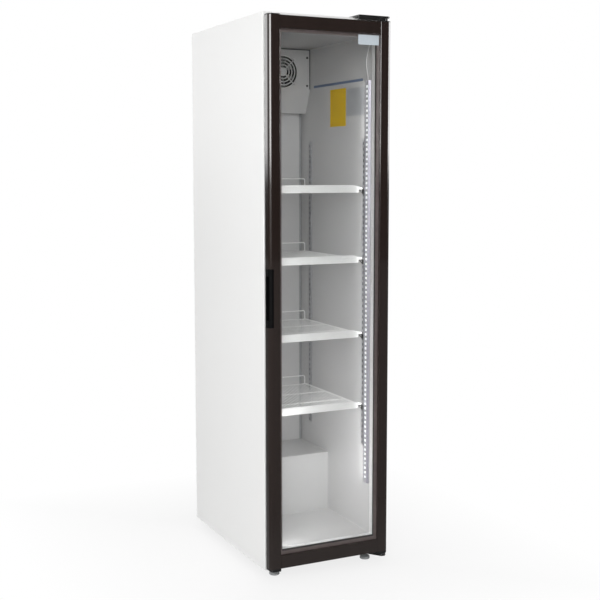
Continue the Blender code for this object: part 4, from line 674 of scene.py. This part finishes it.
def screw_set(name, places, body, look, radius):
    """Pan-head screws at (place, axis) pairs, in one piece."""
    head = turned(name + "_one", (0, 0, 0), "Z", [
        (radius, -0.0002), (radius, radius * 0.25), (radius * 0.86, radius * 0.48),
        (radius * 0.55, radius * 0.62), (radius * 0.2, radius * 0.66),
    ], 16)
    thin, reach, depth = radius * 0.13, radius * 0.52, radius * 0.25
    for x, y in ((reach, thin), (thin, reach)):
        cut(head, block(name + "_slot", (-x, -y, depth), (x, y, radius)))
    made = [copied(head, f"{name}_{i}", place, TURNS[axis]) for i, (place, axis) in enumerate(places)]
    bpy.data.objects.remove(head)
    return settle(joined(name, made), body, look)


# Studio

# Outside lamps: name, place and size; all aim at the cabinet's middle
STUDIO_LAMPS = (
    ("side_lamp", (-4.6, -0.4, 1.05), 2.6),
    ("front_lamp", (-1.7, -3.7, 2.4), 2.6),
    ("top_lamp", (0.2, 0.3, 3.9), 2.2),
)
AIM = Vector((0.0, 0.0, 0.95))
FLOOR_RADIUS = 14.0
# What reflections meet: (share of the full turn from behind by the left, the front and the right, level)
BANDS = (
    (0.0, 0.24), (0.12, 0.24), (0.20, 0.06), (0.32, 0.08), (0.335, 1.0), (0.44, 1.0),
    (0.455, 0.004), (0.635, 0.004), (0.655, 1.0), (0.74, 1.0), (0.76, 0.08), (1.0, 0.24),
)
# The bright bands stand just over the horizon: sine of the elevation (from, to), strength (from, to)
RISE = (-0.012, 0.022, 0.1, 8.0)
FALL = (0.15, 0.22, 1.0, 0.1)


class FRIDGE_OT_stage(bpy.types.Operator):
    """Camera, floor, background and lamps"""

    bl_idname = "fridge.stage"
    bl_label = "Stage"

    def execute(self, context):
        settings = context.scene.fridge_stage
        camera = bpy.data.cameras.new("photo_camera")
        camera.lens = CAMERA_LENS
        camera.shift_x, camera.shift_y = CAMERA_SHIFT
        holder = bpy.data.objects.new("photo_camera", camera)
        holder.location = CAMERA_PLACE
        holder.rotation_euler = (math.radians(90 - CAMERA_PITCH), 0.0, math.radians(-CAMERA_YAW))
        context.scene.collection.objects.link(holder)
        context.scene.camera = holder
        context.scene.view_settings.view_transform = "Standard"

        deselect()
        bpy.ops.mesh.primitive_circle_add(vertices=96, radius=FLOOR_RADIUS, fill_type="NGON")
        floor = new_piece("floor")
        floor.data.materials.append(self.floor_finish())
        self.background(context, settings.room_light)

        for name, place, size in STUDIO_LAMPS:
            lamp = self.lamp(context, name, getattr(settings, name), place, AIM - Vector(place))
            lamp.data.size = size
        middle = centre_of("led_strip").z
        tall = (0.010, high("led_strip").z - low("led_strip").z)
        left = (-0.168, -0.280)
        inside = [
            ("strip_lamp", settings.strip_lamp, (0.178, -0.242, middle), (-0.4, 1.0, 0.0), tall, 180),
            ("return_lamp", settings.return_lamp, (*left, middle), (1.0, 0.05, 0.0), tall, 110),
            ("low_lamp", settings.low_lamp, (*left, 0.33), (1.0, 0.3, 0.0), (0.010, 0.42), 150),
        ]
        for level in LEVELS:
            place = (0.02, -0.06, strip_top(level) + 0.20)
            inside.append((
                f"deck_lamp_{level}", settings.deck_lamps, place, (0.0, 0.1, -1.0), (0.28, 0.30), 110,
            ))
        for name, watts, place, towards, size, spread in inside:
            lamp = self.lamp(context, name, watts, place, Vector(towards))
            lamp.data.shape = "RECTANGLE"
            lamp.data.size, lamp.data.size_y = size
            lamp.data.spread = math.radians(spread)
            lamp.visible_camera = False
        return {"FINISHED"}

    def lamp(self, context, name, watts, place, towards):
        deselect()
        bpy.ops.object.light_add(type="AREA", location=place)
        lamp = context.object
        lamp.name = name
        lamp.data.energy = watts
        lamp.rotation_euler = towards.to_track_quat("-Z", "Y").to_euler()
        lamp.visible_glossy = False
        lamp.visible_transmission = False
        return lamp

    def floor_finish(self):
        """White floor that keeps the shadow near the object and fades to plain white."""
        material = bpy.data.materials.new("fridge_floor")
        tree = Tree(material)
        tree.set("Base Color", (0.86, 0.86, 0.86, 1.0))
        tree.set("Roughness", 0.6)
        place = tree.split(tree.place())
        beside = tree.math("SUBTRACT", tree.math("ABSOLUTE", place["X"]), HALF_WIDTH)
        before = tree.math("SUBTRACT", tree.math("ABSOLUTE", place["Y"]), CABINET_BACK)
        far = tree.between(tree.math("MAXIMUM", beside, before), 0.0, 0.7, 0.80, 1.0)
        rays = tree.rays()
        through = tree.math("MAXIMUM", rays["Is Glossy Ray"], rays["Is Transmission Ray"])
        seen = tree.math("MAXIMUM", rays["Is Camera Ray"], through)
        # The floor far off is darker in reflections than it looks, but not straight through glass
        mirrored_ray = tree.math("MINIMUM", rays["Is Glossy Ray"], rays["Glossy Depth"])
        level = tree.between(mirrored_ray, 0.0, 1.0, 1.0, 0.12)
        white = tree.add("ShaderNodeEmission", {"Color": WHITE, "Strength": level}).outputs["Emission"]
        tree.show(tree.choose(tree.math("MULTIPLY", far, seen), tree.shader.outputs["BSDF"], white))
        return material

    def background(self, context, strength):
        """White where it is seen, even light for the surfaces, and bright bands in reflections."""
        world = bpy.data.worlds.new("studio")
        context.scene.world = world
        tree = Tree(world)
        tree.nodes.clear()
        place = tree.split(tree.add("ShaderNodeTexCoord").outputs["Generated"])
        turn = tree.math("ARCTAN2", place["X"], tree.math("MULTIPLY", place["Y"], -1.0))
        ramp = tree.add("ShaderNodeValToRGB", {"Fac": tree.between(turn, -math.pi, math.pi, 0.0, 1.0)})
        stops = ramp.color_ramp.elements
        while len(stops) < len(BANDS):
            stops.new(0.5)
        for stop, (at, level) in zip(stops, BANDS):
            stop.position = at
            stop.color = (level, level, level, 1.0)
        height = tree.math("MULTIPLY", tree.between(place["Z"], *RISE), tree.between(place["Z"], *FALL))
        rays = tree.rays()
        # A ray that a pane turned back before it left the glass is a reflection
        straight = tree.math("SUBTRACT", rays["Is Transmission Ray"], rays["Glossy Depth"])
        seen = tree.math("MAXIMUM", rays["Is Camera Ray"], straight)
        even, bands, plain = (
            tree.add("ShaderNodeBackground", {"Color": colour, "Strength": level}).outputs["Background"]
            for colour, level in ((WHITE, strength), (ramp.outputs["Color"], height), (WHITE, 1.0))
        )
        lit = tree.choose(rays["Is Glossy Ray"], even, bands)
        tree.add("ShaderNodeOutputWorld", {"Surface": tree.choose(seen, lit, plain)})


# Pieces


class FRIDGE_OT_cabinet(bpy.types.Operator):
    """Folded side and top panels, back panel, base plate and front frame"""

    bl_idname = "fridge.cabinet"
    bl_label = "Cabinet"

    def execute(self, context):
        bend = context.scene.fridge_sizes.sheet_bend
        outer, front = HALF_WIDTH, CABINET_FRONT
        outline = [(outer - FLANGE, front)]
        outline += arc((outer - bend, front + bend), bend, 270, 360, 6)
        outline += [(outer, CABINET_BACK), (outer - SHEET, CABINET_BACK)]
        outline += arc((outer - bend, front + bend), bend - SHEET, 360, 270, 6)
        outline += [(outer - FLANGE, front + SHEET)]
        right = bar("right_panel", "Z", BOTTOM, TOP, outline)
        left = mirrored(right, "left_panel")
        settle(right, "cabinet", "white_paint", ["right_side_panel"])
        settle(left, "cabinet", "white_paint", ["left_side_panel"])

        sheet_half = high("top_panel").x
        inner_half = outer - FLANGE - FIT
        outline = [(front, TOP - FLANGE)]
        outline += arc((front + bend, TOP - bend), bend, 180, 90, 6)
        outline += [(CABINET_BACK, TOP), (CABINET_BACK, TOP - SHEET)]
        outline += arc((front + bend, TOP - bend), bend - SHEET, 90, 180, 6)
        outline += [(front + SHEET, TOP - FLANGE)]
        middle = bar("top_sheet", "X", -inner_half, inner_half, outline)
        wings = [
            block("top_wing", (side * inner_half, front + SHEET + bend, TOP - SHEET),
                  (side * sheet_half, CABINET_BACK, TOP))
            for side in (-1, 1)
        ]
        settle(joined("top_sheet", [middle, *wings]), "cabinet", "white_paint", ["top_panel"])

        refined("front_lip", "front_frame", "cabinet", "white_paint", 0.0005, 30.0)
        dress("white_paint", "back_panel")
        dress("zinc", "base_plate")
        dress("foam", "insulation_foam")
        return {"FINISHED"}


class FRIDGE_OT_liner(bpy.types.Operator):
    """Inner liner with rounded folds, and the bare labels on its right wall"""

    bl_idname = "fridge.liner"
    bl_label = "Liner"

    def execute(self, context):
        liner = traced("liner_shell", "inner_liner")
        inner = INNER_HALF + 0.0004
        back = high("inner_liner").y - LINER_SHEET + 0.0004
        least, most = FLOOR - 0.0004, CEILING + 0.0004

        def inside_fold(a, b):
            within = all(abs(p.x) < inner and p.y < back and least < p.z < most for p in (a, b))
            return within and max(a.y, b.y) > CABINET_FRONT + 0.01

        pick(liner, "EDGE", inside_fold)
        bpy.ops.mesh.bevel(offset=0.003, segments=3, affect="EDGES")
        object_mode()
        settle(liner, "cabinet", "liner_paint", ["inner_liner"])

        # Bare labels and a line on the right wall: name, which is the finish too, and (y, z) corners
        for name, corner, opposite in (
            ("yellow_label", (-0.0975, 1.5560), (0.0245, 1.6920)),
            ("silver_plate", (-0.2355, 1.5900), (-0.1005, 1.6870)),
            ("blue_line", (-0.2227, 1.7075), (0.1604, 1.7165)),
        ):
            label = card(name, (INNER_HALF - 0.0005, *corner), (INNER_HALF - HAIR, *opposite), 0)
            settle(label, "cabinet", name)
        return {"FINISHED"}


class FRIDGE_OT_feet(bpy.types.Operator):
    """Levelling feet with threaded stems"""

    bl_idname = "fridge.feet"
    bl_label = "Feet"

    def execute(self, context):
        for corner in ("front_left", "front_right", "rear_left", "rear_right"):
            node = "foot_" + corner
            bottom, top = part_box(node)
            middle = (bottom + top) / 2
            radius = (top.x - bottom.x) / 2
            profile = [
                (radius - 0.0012, 0.0), (radius, 0.0012), (radius, 0.0072), (radius - 0.0022, 0.0100),
                (0.0095, 0.0102), (0.0090, 0.0110), (0.0060, 0.0112),
            ]
            # The stem's thread
            valley, crest, pitch = 0.0044, 0.0050, 0.001
            z = 0.0114
            while z < top.z - 0.0022:
                profile += [(valley, z), (crest, z + pitch / 2)]
                z += pitch
            profile += [(valley, top.z - 0.0006), (0.0036, top.z)]
            foot = turned("levelling_" + node, (middle.x, middle.y, 0.0), "Z", profile, 28)
            settle(foot, node, "grey_moulding", [node])
        return {"FINISHED"}


class FRIDGE_OT_door_frame(bpy.types.Operator):
    """Door posts, rails and end caps"""

    bl_idname = "fridge.door_frame"
    bl_label = "Door frame"

    def execute(self, context):
        radius = context.scene.fridge_sizes.post_round
        outer, inner = HALF_WIDTH, POST_INNER
        groove = GLASS_HALF + FIT
        outline = [(inner + 0.0008, DOOR_FRONT)]
        outline += arc((outer - radius, DOOR_FRONT + radius), radius, 270, 360, 18)
        outline += arc((outer - 0.003, DOOR_BACK - 0.003), 0.003, 0, 90, 4)
        outline += [
            (inner, DOOR_BACK), (inner, GLASS_BACK + FIT), (groove, GLASS_BACK + FIT),
            (groove, GLASS_FRONT - FIT), (inner, GLASS_FRONT - FIT), (inner, DOOR_FRONT + 0.0008),
        ]
        right = bar("post_right", "Z", DOOR_LOW, DOOR_HIGH, outline)
        left = mirrored(right, "post_left")
        grip_low, grip_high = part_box("handle_grip")
        notch = block(
            "notch", (-outer - OVER, DOOR_FRONT - OVER, grip_low.z - FIT),
            (-outer + 0.016 + FIT, grip_high.y + FIT, grip_high.z + FIT),
        )
        cut(left, notch)
        settle(right, "door", "brown_lacquer", ["door_post_right"])
        settle(left, "door", "brown_lacquer", ["door_post_left"])
        for node in ("door_rail_top", "door_rail_bottom"):
            refined(node + "_profile", node, "door", "brown_lacquer", 0.0006, 30.0)
        for place in ("top_left", "top_right", "bottom_left", "bottom_right"):
            refined("end_cap_" + place, "post_cap_" + place, "door", "black_moulding", 0.0006)
        plug = turned("post_plug", (-outer + 0.0004, -0.3262, 0.6238), "-X", [
            (0.0034, 0.0), (0.0034, 0.0003), (0.0026, 0.0004), (0.0012, 0.0004),
        ], 20)
        settle(plug, "door", "black_moulding")
        return {"FINISHED"}


class FRIDGE_OT_grip(bpy.types.Operator):
    """Moulded grip let into the left post"""

    bl_idname = "fridge.grip"
    bl_label = "Grip"

    def execute(self, context):
        refined("moulded_grip", "handle_grip", "door", "grip_moulding", 0.0008)
        return {"FINISHED"}


class FRIDGE_OT_glazing(bpy.types.Operator):
    """Panes, spacer bar, gasket and the bare plate on the glass"""

    bl_idname = "fridge.glazing"
    bl_label = "Glazing"

    def execute(self, context):
        dress("glass", "outer_glass", "inner_glass")
        dress("spacer", "glass_spacer")
        # The print round the outer pane's back reaches further in than the spacer
        corner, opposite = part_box("glass_spacer")
        sight = 0.0225
        border = block(
            "pane_border", (corner.x, corner.y + HAIR, corner.z), (opposite.x, corner.y + 0.0004, opposite.z)
        )
        cut(border, block(
            "sight", (corner.x + sight, corner.y - OVER, corner.z + sight),
            (opposite.x - sight, corner.y + OVER, opposite.z - sight),
        ))
        settle(border, "door", "spacer")
        refined("bellows_gasket", "door_gasket", "door", "grey_rubber", 0.0009)
        plate = card(
            "glass_plate", (0.1060, GLASS_FRONT - 0.0004, 1.8170), (0.1860, GLASS_FRONT - HAIR, 1.8500), 1
        )
        settle(plate, "door", "pale_plate")
        return {"FINISHED"}


class FRIDGE_OT_hinges(bpy.types.Operator):
    """Hinge plates and the pins"""

    bl_idname = "fridge.hinges"
    bl_label = "Hinges"

    def execute(self, context):
        for node in ("top_hinge_plate", "bottom_hinge_plate"):
            refined(node + "_forged", node, "cabinet", "black_steel", 0.0009)
        dress("black_steel", "top_hinge_pin")
        dress("zinc", "bottom_hinge_pin")
        return {"FINISHED"}


class FRIDGE_OT_evaporator(bpy.types.Operator):
    """Evaporator housing with its screws, the coil, fan and thermostat behind it"""

    bl_idname = "fridge.evaporator"
    bl_label = "Evaporator"

    def execute(self, context):
        refined("evaporator_housing", "evaporator_cover", "cabinet", "liner_paint", 0.0005, 25.0)
        corner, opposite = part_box("evaporator_cover")
        face, edge, foot = corner.y, opposite.x, corner.z
        # Seals against the walls and the ceiling
        front, back, top, slope = face - 0.0004, face + 0.002, CEILING - FIT, 0.09
        seals = [
            block("seal", (side * edge, front, foot + slope), (side * (edge - 0.0035), back, top))
            for side in (-1, 1)
        ]
        seals.append(block("seal", (-edge, front, CEILING - 0.0032), (edge, back, top)))
        settle(joined("housing_seal", seals), "cabinet", "seal")
        places = [((x, face, z), "-Y") for x in (-0.177, 0.177) for z in (1.824, 1.7185)]
        screw_set("housing_screws", places, "cabinet", "black_steel", 0.0042)
        dress("fins", "evaporator_coil")
        dress("machine_enamel", "evaporator_fan", "evaporator_fan_motor")
        dress("grey_moulding", "thermostat")
        return {"FINISHED"}


class FRIDGE_OT_fan_grille(bpy.types.Operator):
    """Finger guard of rings and spokes, with its screws"""

    bl_idname = "fridge.fan_grille"
    bl_label = "Fan grille"

    def execute(self, context):
        back = high("fan_grille").y
        x, middle, z = centre_of("fan_grille")
        pieces = []
        for radius in (0.0256, 0.0374, 0.0492):
            deselect()
            bpy.ops.mesh.primitive_torus_add(
                major_segments=64, minor_segments=10, major_radius=radius, minor_radius=0.0024,
            )
            pieces.append(put(new_piece("ring"), (x, middle, z), (90, 0, 0), (1, 1, 0.62)))
        rim = turned("rim", (x, back, z), "-Y", [
            (0.0620, 0.0), (0.0620, 0.0018), (0.0608, 0.0030), (0.0594, 0.0030), (0.0583, 0.0020),
            (0.0583, 0.0),
        ], 64)
        # Its two end faces go, and its first and last ring, at the same height, are bridged into a band

        def end_face(centre, normal):
            return abs(normal.y) > 0.9 and (centre - Vector((x, centre.y, z))).length < 0.002

        pick(rim, "FACE", end_face)
        bpy.ops.mesh.delete(type="FACE")
        object_mode()
        pick(rim, "EDGE", lambda a, b: all(abs(p.y - back) < HAIR for p in (a, b)))
        bpy.ops.mesh.bridge_edge_loops()
        object_mode()
        pieces.append(rim)
        pieces.append(turned("hub", (x, back, z), "-Y", [
            (0.0165, 0.0002), (0.0165, 0.0020), (0.0150, 0.0030), (0.0112, 0.0030), (0.0104, 0.0020),
            (0.0098, 0.0020), (0.0090, 0.0028), (0.0030, 0.0030),
        ], 40))
        reach = 0.0600
        for turn in (45, 135):
            spoke = block("spoke", (-reach, -0.0012, -0.0022), (reach, 0.0012, 0.0022))
            pieces.append(put(soften(spoke, 0.0008), (x, middle + HAIR, z), (0, turn, 0)))
        places = []
        ear_reach = 0.0455
        for ear_x in (x - ear_reach, x + ear_reach):
            for ear_z in (z - ear_reach, z + ear_reach):
                pieces.append(turned("ear", (ear_x, back, ear_z), "-Y", [
                    (0.0060, 0.0), (0.0060, 0.0022), (0.0052, 0.0030), (0.0040, 0.0030),
                ], 24))
                places.append(((ear_x, back - 0.0028, ear_z), "-Y"))
        guard = joined("finger_guard", pieces)
        settle(guard, "cabinet", "grille_moulding", ["fan_grille"], angle=40.0)
        screw_set("grille_screws", places, "cabinet", "zinc", 0.0030)
        return {"FINISHED"}


class FRIDGE_OT_knob(bpy.types.Operator):
    """Thermostat knob with finger flutes and a pointer"""

    bl_idname = "fridge.knob"
    bl_label = "Thermostat knob"

    def execute(self, context):
        front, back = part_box("thermostat_knob")
        radius = (back.x - front.x) / 2
        x, z = (front.x + back.x) / 2, front.z + radius
        face = back.y
        knob = turned("fluted_knob", (x, face, z), "-Y", [
            (radius, 0.0), (radius, 0.0030), (radius * 0.93, 0.0042), (radius * 0.86, 0.0135),
            (radius * 0.80, 0.0148), (radius * 0.40, 0.0150),
        ], 48)
        flutes = []
        for i in range(12):
            turn = math.radians(30 * i + 15)
            at_x, at_z = x + radius * 0.98 * math.cos(turn), z + radius * 0.98 * math.sin(turn)
            flutes.append(rod("flute", (at_x, face - 0.0045, at_z), (at_x, face - 0.02, at_z), 0.0028, 12))
        cut(knob, joined("flutes", flutes))
        pointer = block(
            "pointer", (x - 0.0012, face - 0.0154, z + 0.002), (x + 0.0012, face - 0.0140, z + 0.0135)
        )
        soften(pointer, 0.0003)
        knob = joined("fluted_knob", [knob, pointer])
        settle(knob, "thermostat_knob", "grey_moulding", ["thermostat_knob"])
        return {"FINISHED"}


class FRIDGE_OT_duct(bpy.types.Operator):
    """Air duct panel on the back wall"""

    bl_idname = "fridge.duct"
    bl_label = "Air duct"

    def execute(self, context):
        refined("air_duct", "duct_panel", "cabinet", "liner_paint", 0.0007)
        corner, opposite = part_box("duct_panel")
        # Grey strips in the gaps between the duct panel and the side walls, painted shade of those gaps
        seal = block(
            "duct_seal_right", (opposite.x + FIT, corner.y + 0.0025, corner.z),
            (INNER_HALF - FIT, opposite.y, opposite.z),
        )
        soften(seal, 0.0010)
        for obj in (seal, mirrored(seal, "duct_seal_left")):
            settle(obj, "cabinet", "grey_seal")
        return {"FINISHED"}


class FRIDGE_OT_pilasters(bpy.types.Operator):
    """Slotted pilasters and the clips that carry the shelves"""

    bl_idname = "fridge.pilasters"
    bl_label = "Pilasters"

    def execute(self, context):
        face, sheet, pitch = 0.1847, 0.0012, 0.0198
        for depth in ("front", "rear"):
            bottom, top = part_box(f"pilaster_{depth}_right")
            wall, front, back = top.x, bottom.y, top.y
            middle = (front + back) / 2
            rail = bar(f"slotted_rail_{depth}_right", "Z", bottom.z, top.z, [
                (wall, front), (face + 0.001, front), (face, front + 0.001),
                (face, back - 0.001), (face + 0.001, back), (wall, back), (wall, back - sheet),
                (face + sheet, back - sheet), (face + sheet, front + sheet), (wall, front + sheet),
            ])
            # Dark strip behind the slots, painted shade of the rail's hollow inside
            inside = block(
                f"rail_inside_{depth}_right", (face + 0.0016, front + 0.0015, bottom.z + 0.001),
                (face + 0.0021, back - 0.0015, top.z - 0.001),
            )
            slot_half, slot_tall = 0.0033, 0.0055
            first = bottom.z + pitch / 2
            slot = block(
                "slot", (face - 0.001, middle - slot_half, first - slot_tall),
                (face + 0.003, middle + slot_half, first + slot_tall),
            )
            repeat(slot, int((top.z - bottom.z) / pitch), (0, 0, pitch))
            cut(rail, slot)
            clips = []
            tip, root = face - 0.014, face + 0.0006
            for level in LEVELS:
                seat = strip_top(level) - 0.011 - 0.005 - FIT
                arm = block("arm", (tip, middle - 0.0045, seat - 0.0016), (root, middle + 0.0045, seat))
                plate = block(
                    "plate", (face - 0.0012, middle - 0.0050, seat - 0.016), (root, middle + 0.0050, seat)
                )
                clips += [soften(arm, 0.0004), soften(plate, 0.0004)]
                clips.append(wire("brace", [
                    (tip + 0.0014, middle, seat - 0.0010), (tip + 0.0014, middle, seat - 0.0030),
                    (face - 0.0004, middle, seat - 0.0148),
                ], 0.0012, 0.0010))
            clips = joined(f"shelf_clips_{depth}_right", clips)
            pieces = {"right": (rail, clips, inside)}
            pieces["left"] = [mirrored(obj, obj.name.replace("right", "left")) for obj in pieces["right"]]
            for side, (rail, clips, inside) in pieces.items():
                node = f"pilaster_{depth}_{side}"
                # The strip behind the slots takes the dark finish as painted shade
                settle(inside, "cabinet", "seal")
                settle(rail, "cabinet", "slotted_steel", [node])
                settle(clips, "cabinet", "black_steel", [node])
        return {"FINISHED"}


class FRIDGE_OT_shelves(bpy.types.Operator):
    """Welded wire shelves with a back stop"""

    bl_idname = "fridge.shelves"
    bl_label = "Shelves"

    def execute(self, context):
        pitch = context.scene.fridge_sizes.wire_pitch
        deck = strip_top(1) - 0.011
        corner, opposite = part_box("shelf_1")
        half, front, back = opposite.x, corner.y, opposite.y
        rod_radius, wire_radius = 0.0021, 0.0014
        rim = half - rod_radius
        near, far = front + rod_radius, back - rod_radius
        z = deck - 0.0005 - rod_radius
        pieces = [wire(
            "frame_wire", [(-rim, near, z), (rim, near, z), (rim, far, z), (-rim, far, z)], rod_radius, 0.008,
            closed=True,
        )]
        count = int(2 * rim / pitch) - 1
        first = -(count - 1) / 2 * pitch
        height = deck - wire_radius
        bars = rod("bars", (first, near, height), (first, far, height), wire_radius, 8)
        pieces.append(repeat(bars, count, (pitch, 0, 0)))
        for share in (0.271, 0.629):
            y = front + (back - front) * share
            pieces.append(rod("cross", (-rim, y, deck - 0.0045), (rim, y, deck - 0.0045), rod_radius, 10))
        stop, stop_top = half - 0.007 - rod_radius, deck + 0.031
        pieces.append(wire("stop", [
            (-stop, far, z), (-stop, far, stop_top), (stop, far, stop_top), (stop, far, z),
        ], rod_radius, 0.008))
        for side in (-1, 1):
            deselect()
            bpy.ops.mesh.primitive_uv_sphere_add(
                segments=16, ring_count=10, radius=0.0035,
                location=(side * (half + 0.0022), near, deck - 0.0012),
            )
            pieces.append(new_piece("end_knob"))
        on_each_level(joined("wire_shelf_1", pieces), "wire_shelf", "wire_coat", "shelf", 50.0)
        return {"FINISHED"}


class FRIDGE_OT_price_strips(bpy.types.Operator):
    """Price strips on the shelves' front edges"""

    bl_idname = "fridge.price_strips"
    bl_label = "Price strips"

    def execute(self, context):
        corner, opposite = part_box("shelf_strip_1")
        front, top, foot = corner.y, opposite.z, corner.z
        edge = front + 0.002
        groove = front + 0.0008
        flat = opposite.x - 0.0195
        strip = bar("price_strip_1", "X", -flat, flat, [
            (front + 0.0006, top), (front, top - 0.0006), (front, top - 0.0028), (groove, top - 0.0034),
            (groove, foot + 0.0034), (front, foot + 0.0028), (front, foot + 0.0006),
            (front + 0.0006, foot), (edge + 0.006, foot), (edge + 0.006, foot + 0.0015),
            (edge, foot + 0.0015), (edge, top),
        ])
        # The ends run out thinner, their top edge sloping down
        tip, over_clip = opposite.x + 0.0075, top - 0.0152
        end = bar("end", "Y", front + 0.0010, edge, [
            (flat - 0.0004, top), (tip, top - 0.0085), (tip, over_clip), (opposite.x, over_clip),
            (opposite.x, foot), (flat - 0.0004, foot),
        ])
        strip = joined("price_strip_1", [strip, end, mirrored(end, "end")])
        on_each_level(strip, "price_strip", "white_moulding", "shelf_strip")
        return {"FINISHED"}


class FRIDGE_OT_light(bpy.types.Operator):
    """Light strip in its profile, and its short lead"""

    bl_idname = "fridge.light"
    bl_label = "Light strip"

    def execute(self, context):
        pitch = context.scene.fridge_sizes.chip_pitch
        dress("light_profile", "led_profile")
        bottom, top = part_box("led_strip")
        board = block("light_board", (bottom.x + 0.0008, bottom.y, bottom.z), (top.x, top.y, top.z))
        settle(soften(board, 0.0002, 1), "cabinet", "board", ["led_strip"])
        height = top.z - bottom.z
        count = int(height / pitch)
        first = bottom.z + (height - (count - 1) * pitch) / 2
        half, tall = 0.0042, 0.0035
        chip = block(
            "light_chips", (bottom.x, LED_MIDDLE_Y - half, first - tall),
            (bottom.x + 0.0010, LED_MIDDLE_Y + half, first + tall),
        )
        pick(chip, "FACE", lambda centre, normal: normal.x < -0.9)
        bpy.ops.mesh.inset(thickness=0.0005, depth=-0.0001)
        object_mode()
        repeat(chip, count, (0, 0, pitch))
        settle(chip, "cabinet", "glow", ["led_strip"])
        # The lead's way down: depth, and share of its height
        route = (
            (-0.281, 0.0), (-0.281, 0.10), (-0.272, 0.26), (-0.258, 0.44), (-0.252, 0.60),
            (-0.258, 0.78), (-0.266, 0.90), (-0.266, 1.0),
        )
        bottom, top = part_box("led_cable")
        x, drop = (bottom.x + top.x) / 2, top.z - bottom.z
        lead = wire("light_lead", [(x, y, top.z - drop * share) for y, share in route], 0.0015, 0.010)
        settle(lead, "cabinet", "white_moulding", ["led_cable"], angle=60.0)
        return {"FINISHED"}


class FRIDGE_OT_machine(bpy.types.Operator):
    """Finishes of the compressor, condenser, fan and pipe"""

    bl_idname = "fridge.machine"
    bl_label = "Machine"

    def execute(self, context):
        dress("machine_enamel", "compressor", "condenser_fan_motor")
        dress("fins", "condenser")
        dress("aluminium", "condenser_fan")
        dress("copper", "discharge_pipe")
        return {"FINISHED"}


class FRIDGE_OT_rear_cover(bpy.types.Operator):
    """Louvred cover of the machine compartment, with its screws and the cord gland"""

    bl_idname = "fridge.rear_cover"
    bl_label = "Rear cover"

    def execute(self, context):
        bottom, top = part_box("rear_cover")
        back = top.y
        cover = soften(traced("louvred_cover", "rear_cover"), 0.0003, angle=40.0)
        pitch, slot_x, half = 0.020, 0.105, 0.087
        z = top.z - pitch * 1.5
        outside = [(back - 0.0002, z + 0.0090), (back + 0.0030, z + 0.0022), (back + 0.0034, z - 0.0006)]
        hood = bar("hood", "X", -slot_x - half, -slot_x + half, [
            *outside, (back + 0.0026, z - 0.0006), (back + 0.0022, z + 0.0018), (back - 0.0002, z + 0.0072),
        ])
        cheeks = [
            bar("cheek", "X", x - 0.0006, x + 0.0006, [*outside, (back - 0.0002, z - 0.0006)])
            for x in (-slot_x - half, -slot_x + half)
        ]
        hood = joined("hood", [hood, *cheeks])
        repeat(hood, 8, (0, 0, -pitch))
        repeat(hood, 2, (2 * slot_x, 0, 0))
        settle(joined("louvred_cover", [cover, hood]), "cabinet", "zinc", ["rear_cover"])
        dress("black_moulding", "cord_gland")
        heights = (bottom.z + 0.02, (bottom.z + top.z) / 2, top.z - 0.012)
        places = [((x, back, height), "Y") for x in (-0.217, 0.217) for height in heights]
        screw_set("cover_screws", places, "cabinet", "zinc", 0.0034)
        return {"FINISHED"}


class FRIDGE_PT_panel(bpy.types.Panel):
    """Steps that build the refrigerator's looks"""

    bl_idname = "FRIDGE_PT_panel"
    bl_label = "Display refrigerator"
    bl_space_type = "VIEW_3D"
    bl_region_type = "UI"
    bl_category = "Refrigerator"

    def draw(self, context):
        scene = context.scene
        for group in (scene.fridge_look, scene.fridge_sizes, scene.fridge_stage):
            box = self.layout.box()
            for key in group.__annotations__:
                box.prop(group, key)
        for step in STEPS:
            self.layout.operator(step.bl_idname)


STEPS = (
    FRIDGE_OT_stage, FRIDGE_OT_cabinet, FRIDGE_OT_liner, FRIDGE_OT_feet, FRIDGE_OT_door_frame,
    FRIDGE_OT_grip, FRIDGE_OT_glazing, FRIDGE_OT_hinges, FRIDGE_OT_evaporator, FRIDGE_OT_fan_grille,
    FRIDGE_OT_knob, FRIDGE_OT_duct, FRIDGE_OT_pilasters, FRIDGE_OT_shelves, FRIDGE_OT_price_strips,
    FRIDGE_OT_light, FRIDGE_OT_machine, FRIDGE_OT_rear_cover,
)
GROUPS = (("fridge_look", FridgeLook), ("fridge_sizes", FridgeSizes), ("fridge_stage", FridgeStage))


def register():
    for key, group in GROUPS:
        bpy.utils.register_class(group)
        setattr(bpy.types.Scene, key, bpy.props.PointerProperty(type=group))
    for step in (*STEPS, FRIDGE_PT_panel):
        bpy.utils.register_class(step)


def unregister():
    for step in reversed((*STEPS, FRIDGE_PT_panel)):
        bpy.utils.unregister_class(step)
    for key, group in reversed(GROUPS):
        delattr(bpy.types.Scene, key)
        bpy.utils.unregister_class(group)


def main():
    register()
    for step in STEPS:
        family, action = step.bl_idname.split(".")
        getattr(getattr(bpy.ops, family), action)()


if __name__ == "__main__":
    main()
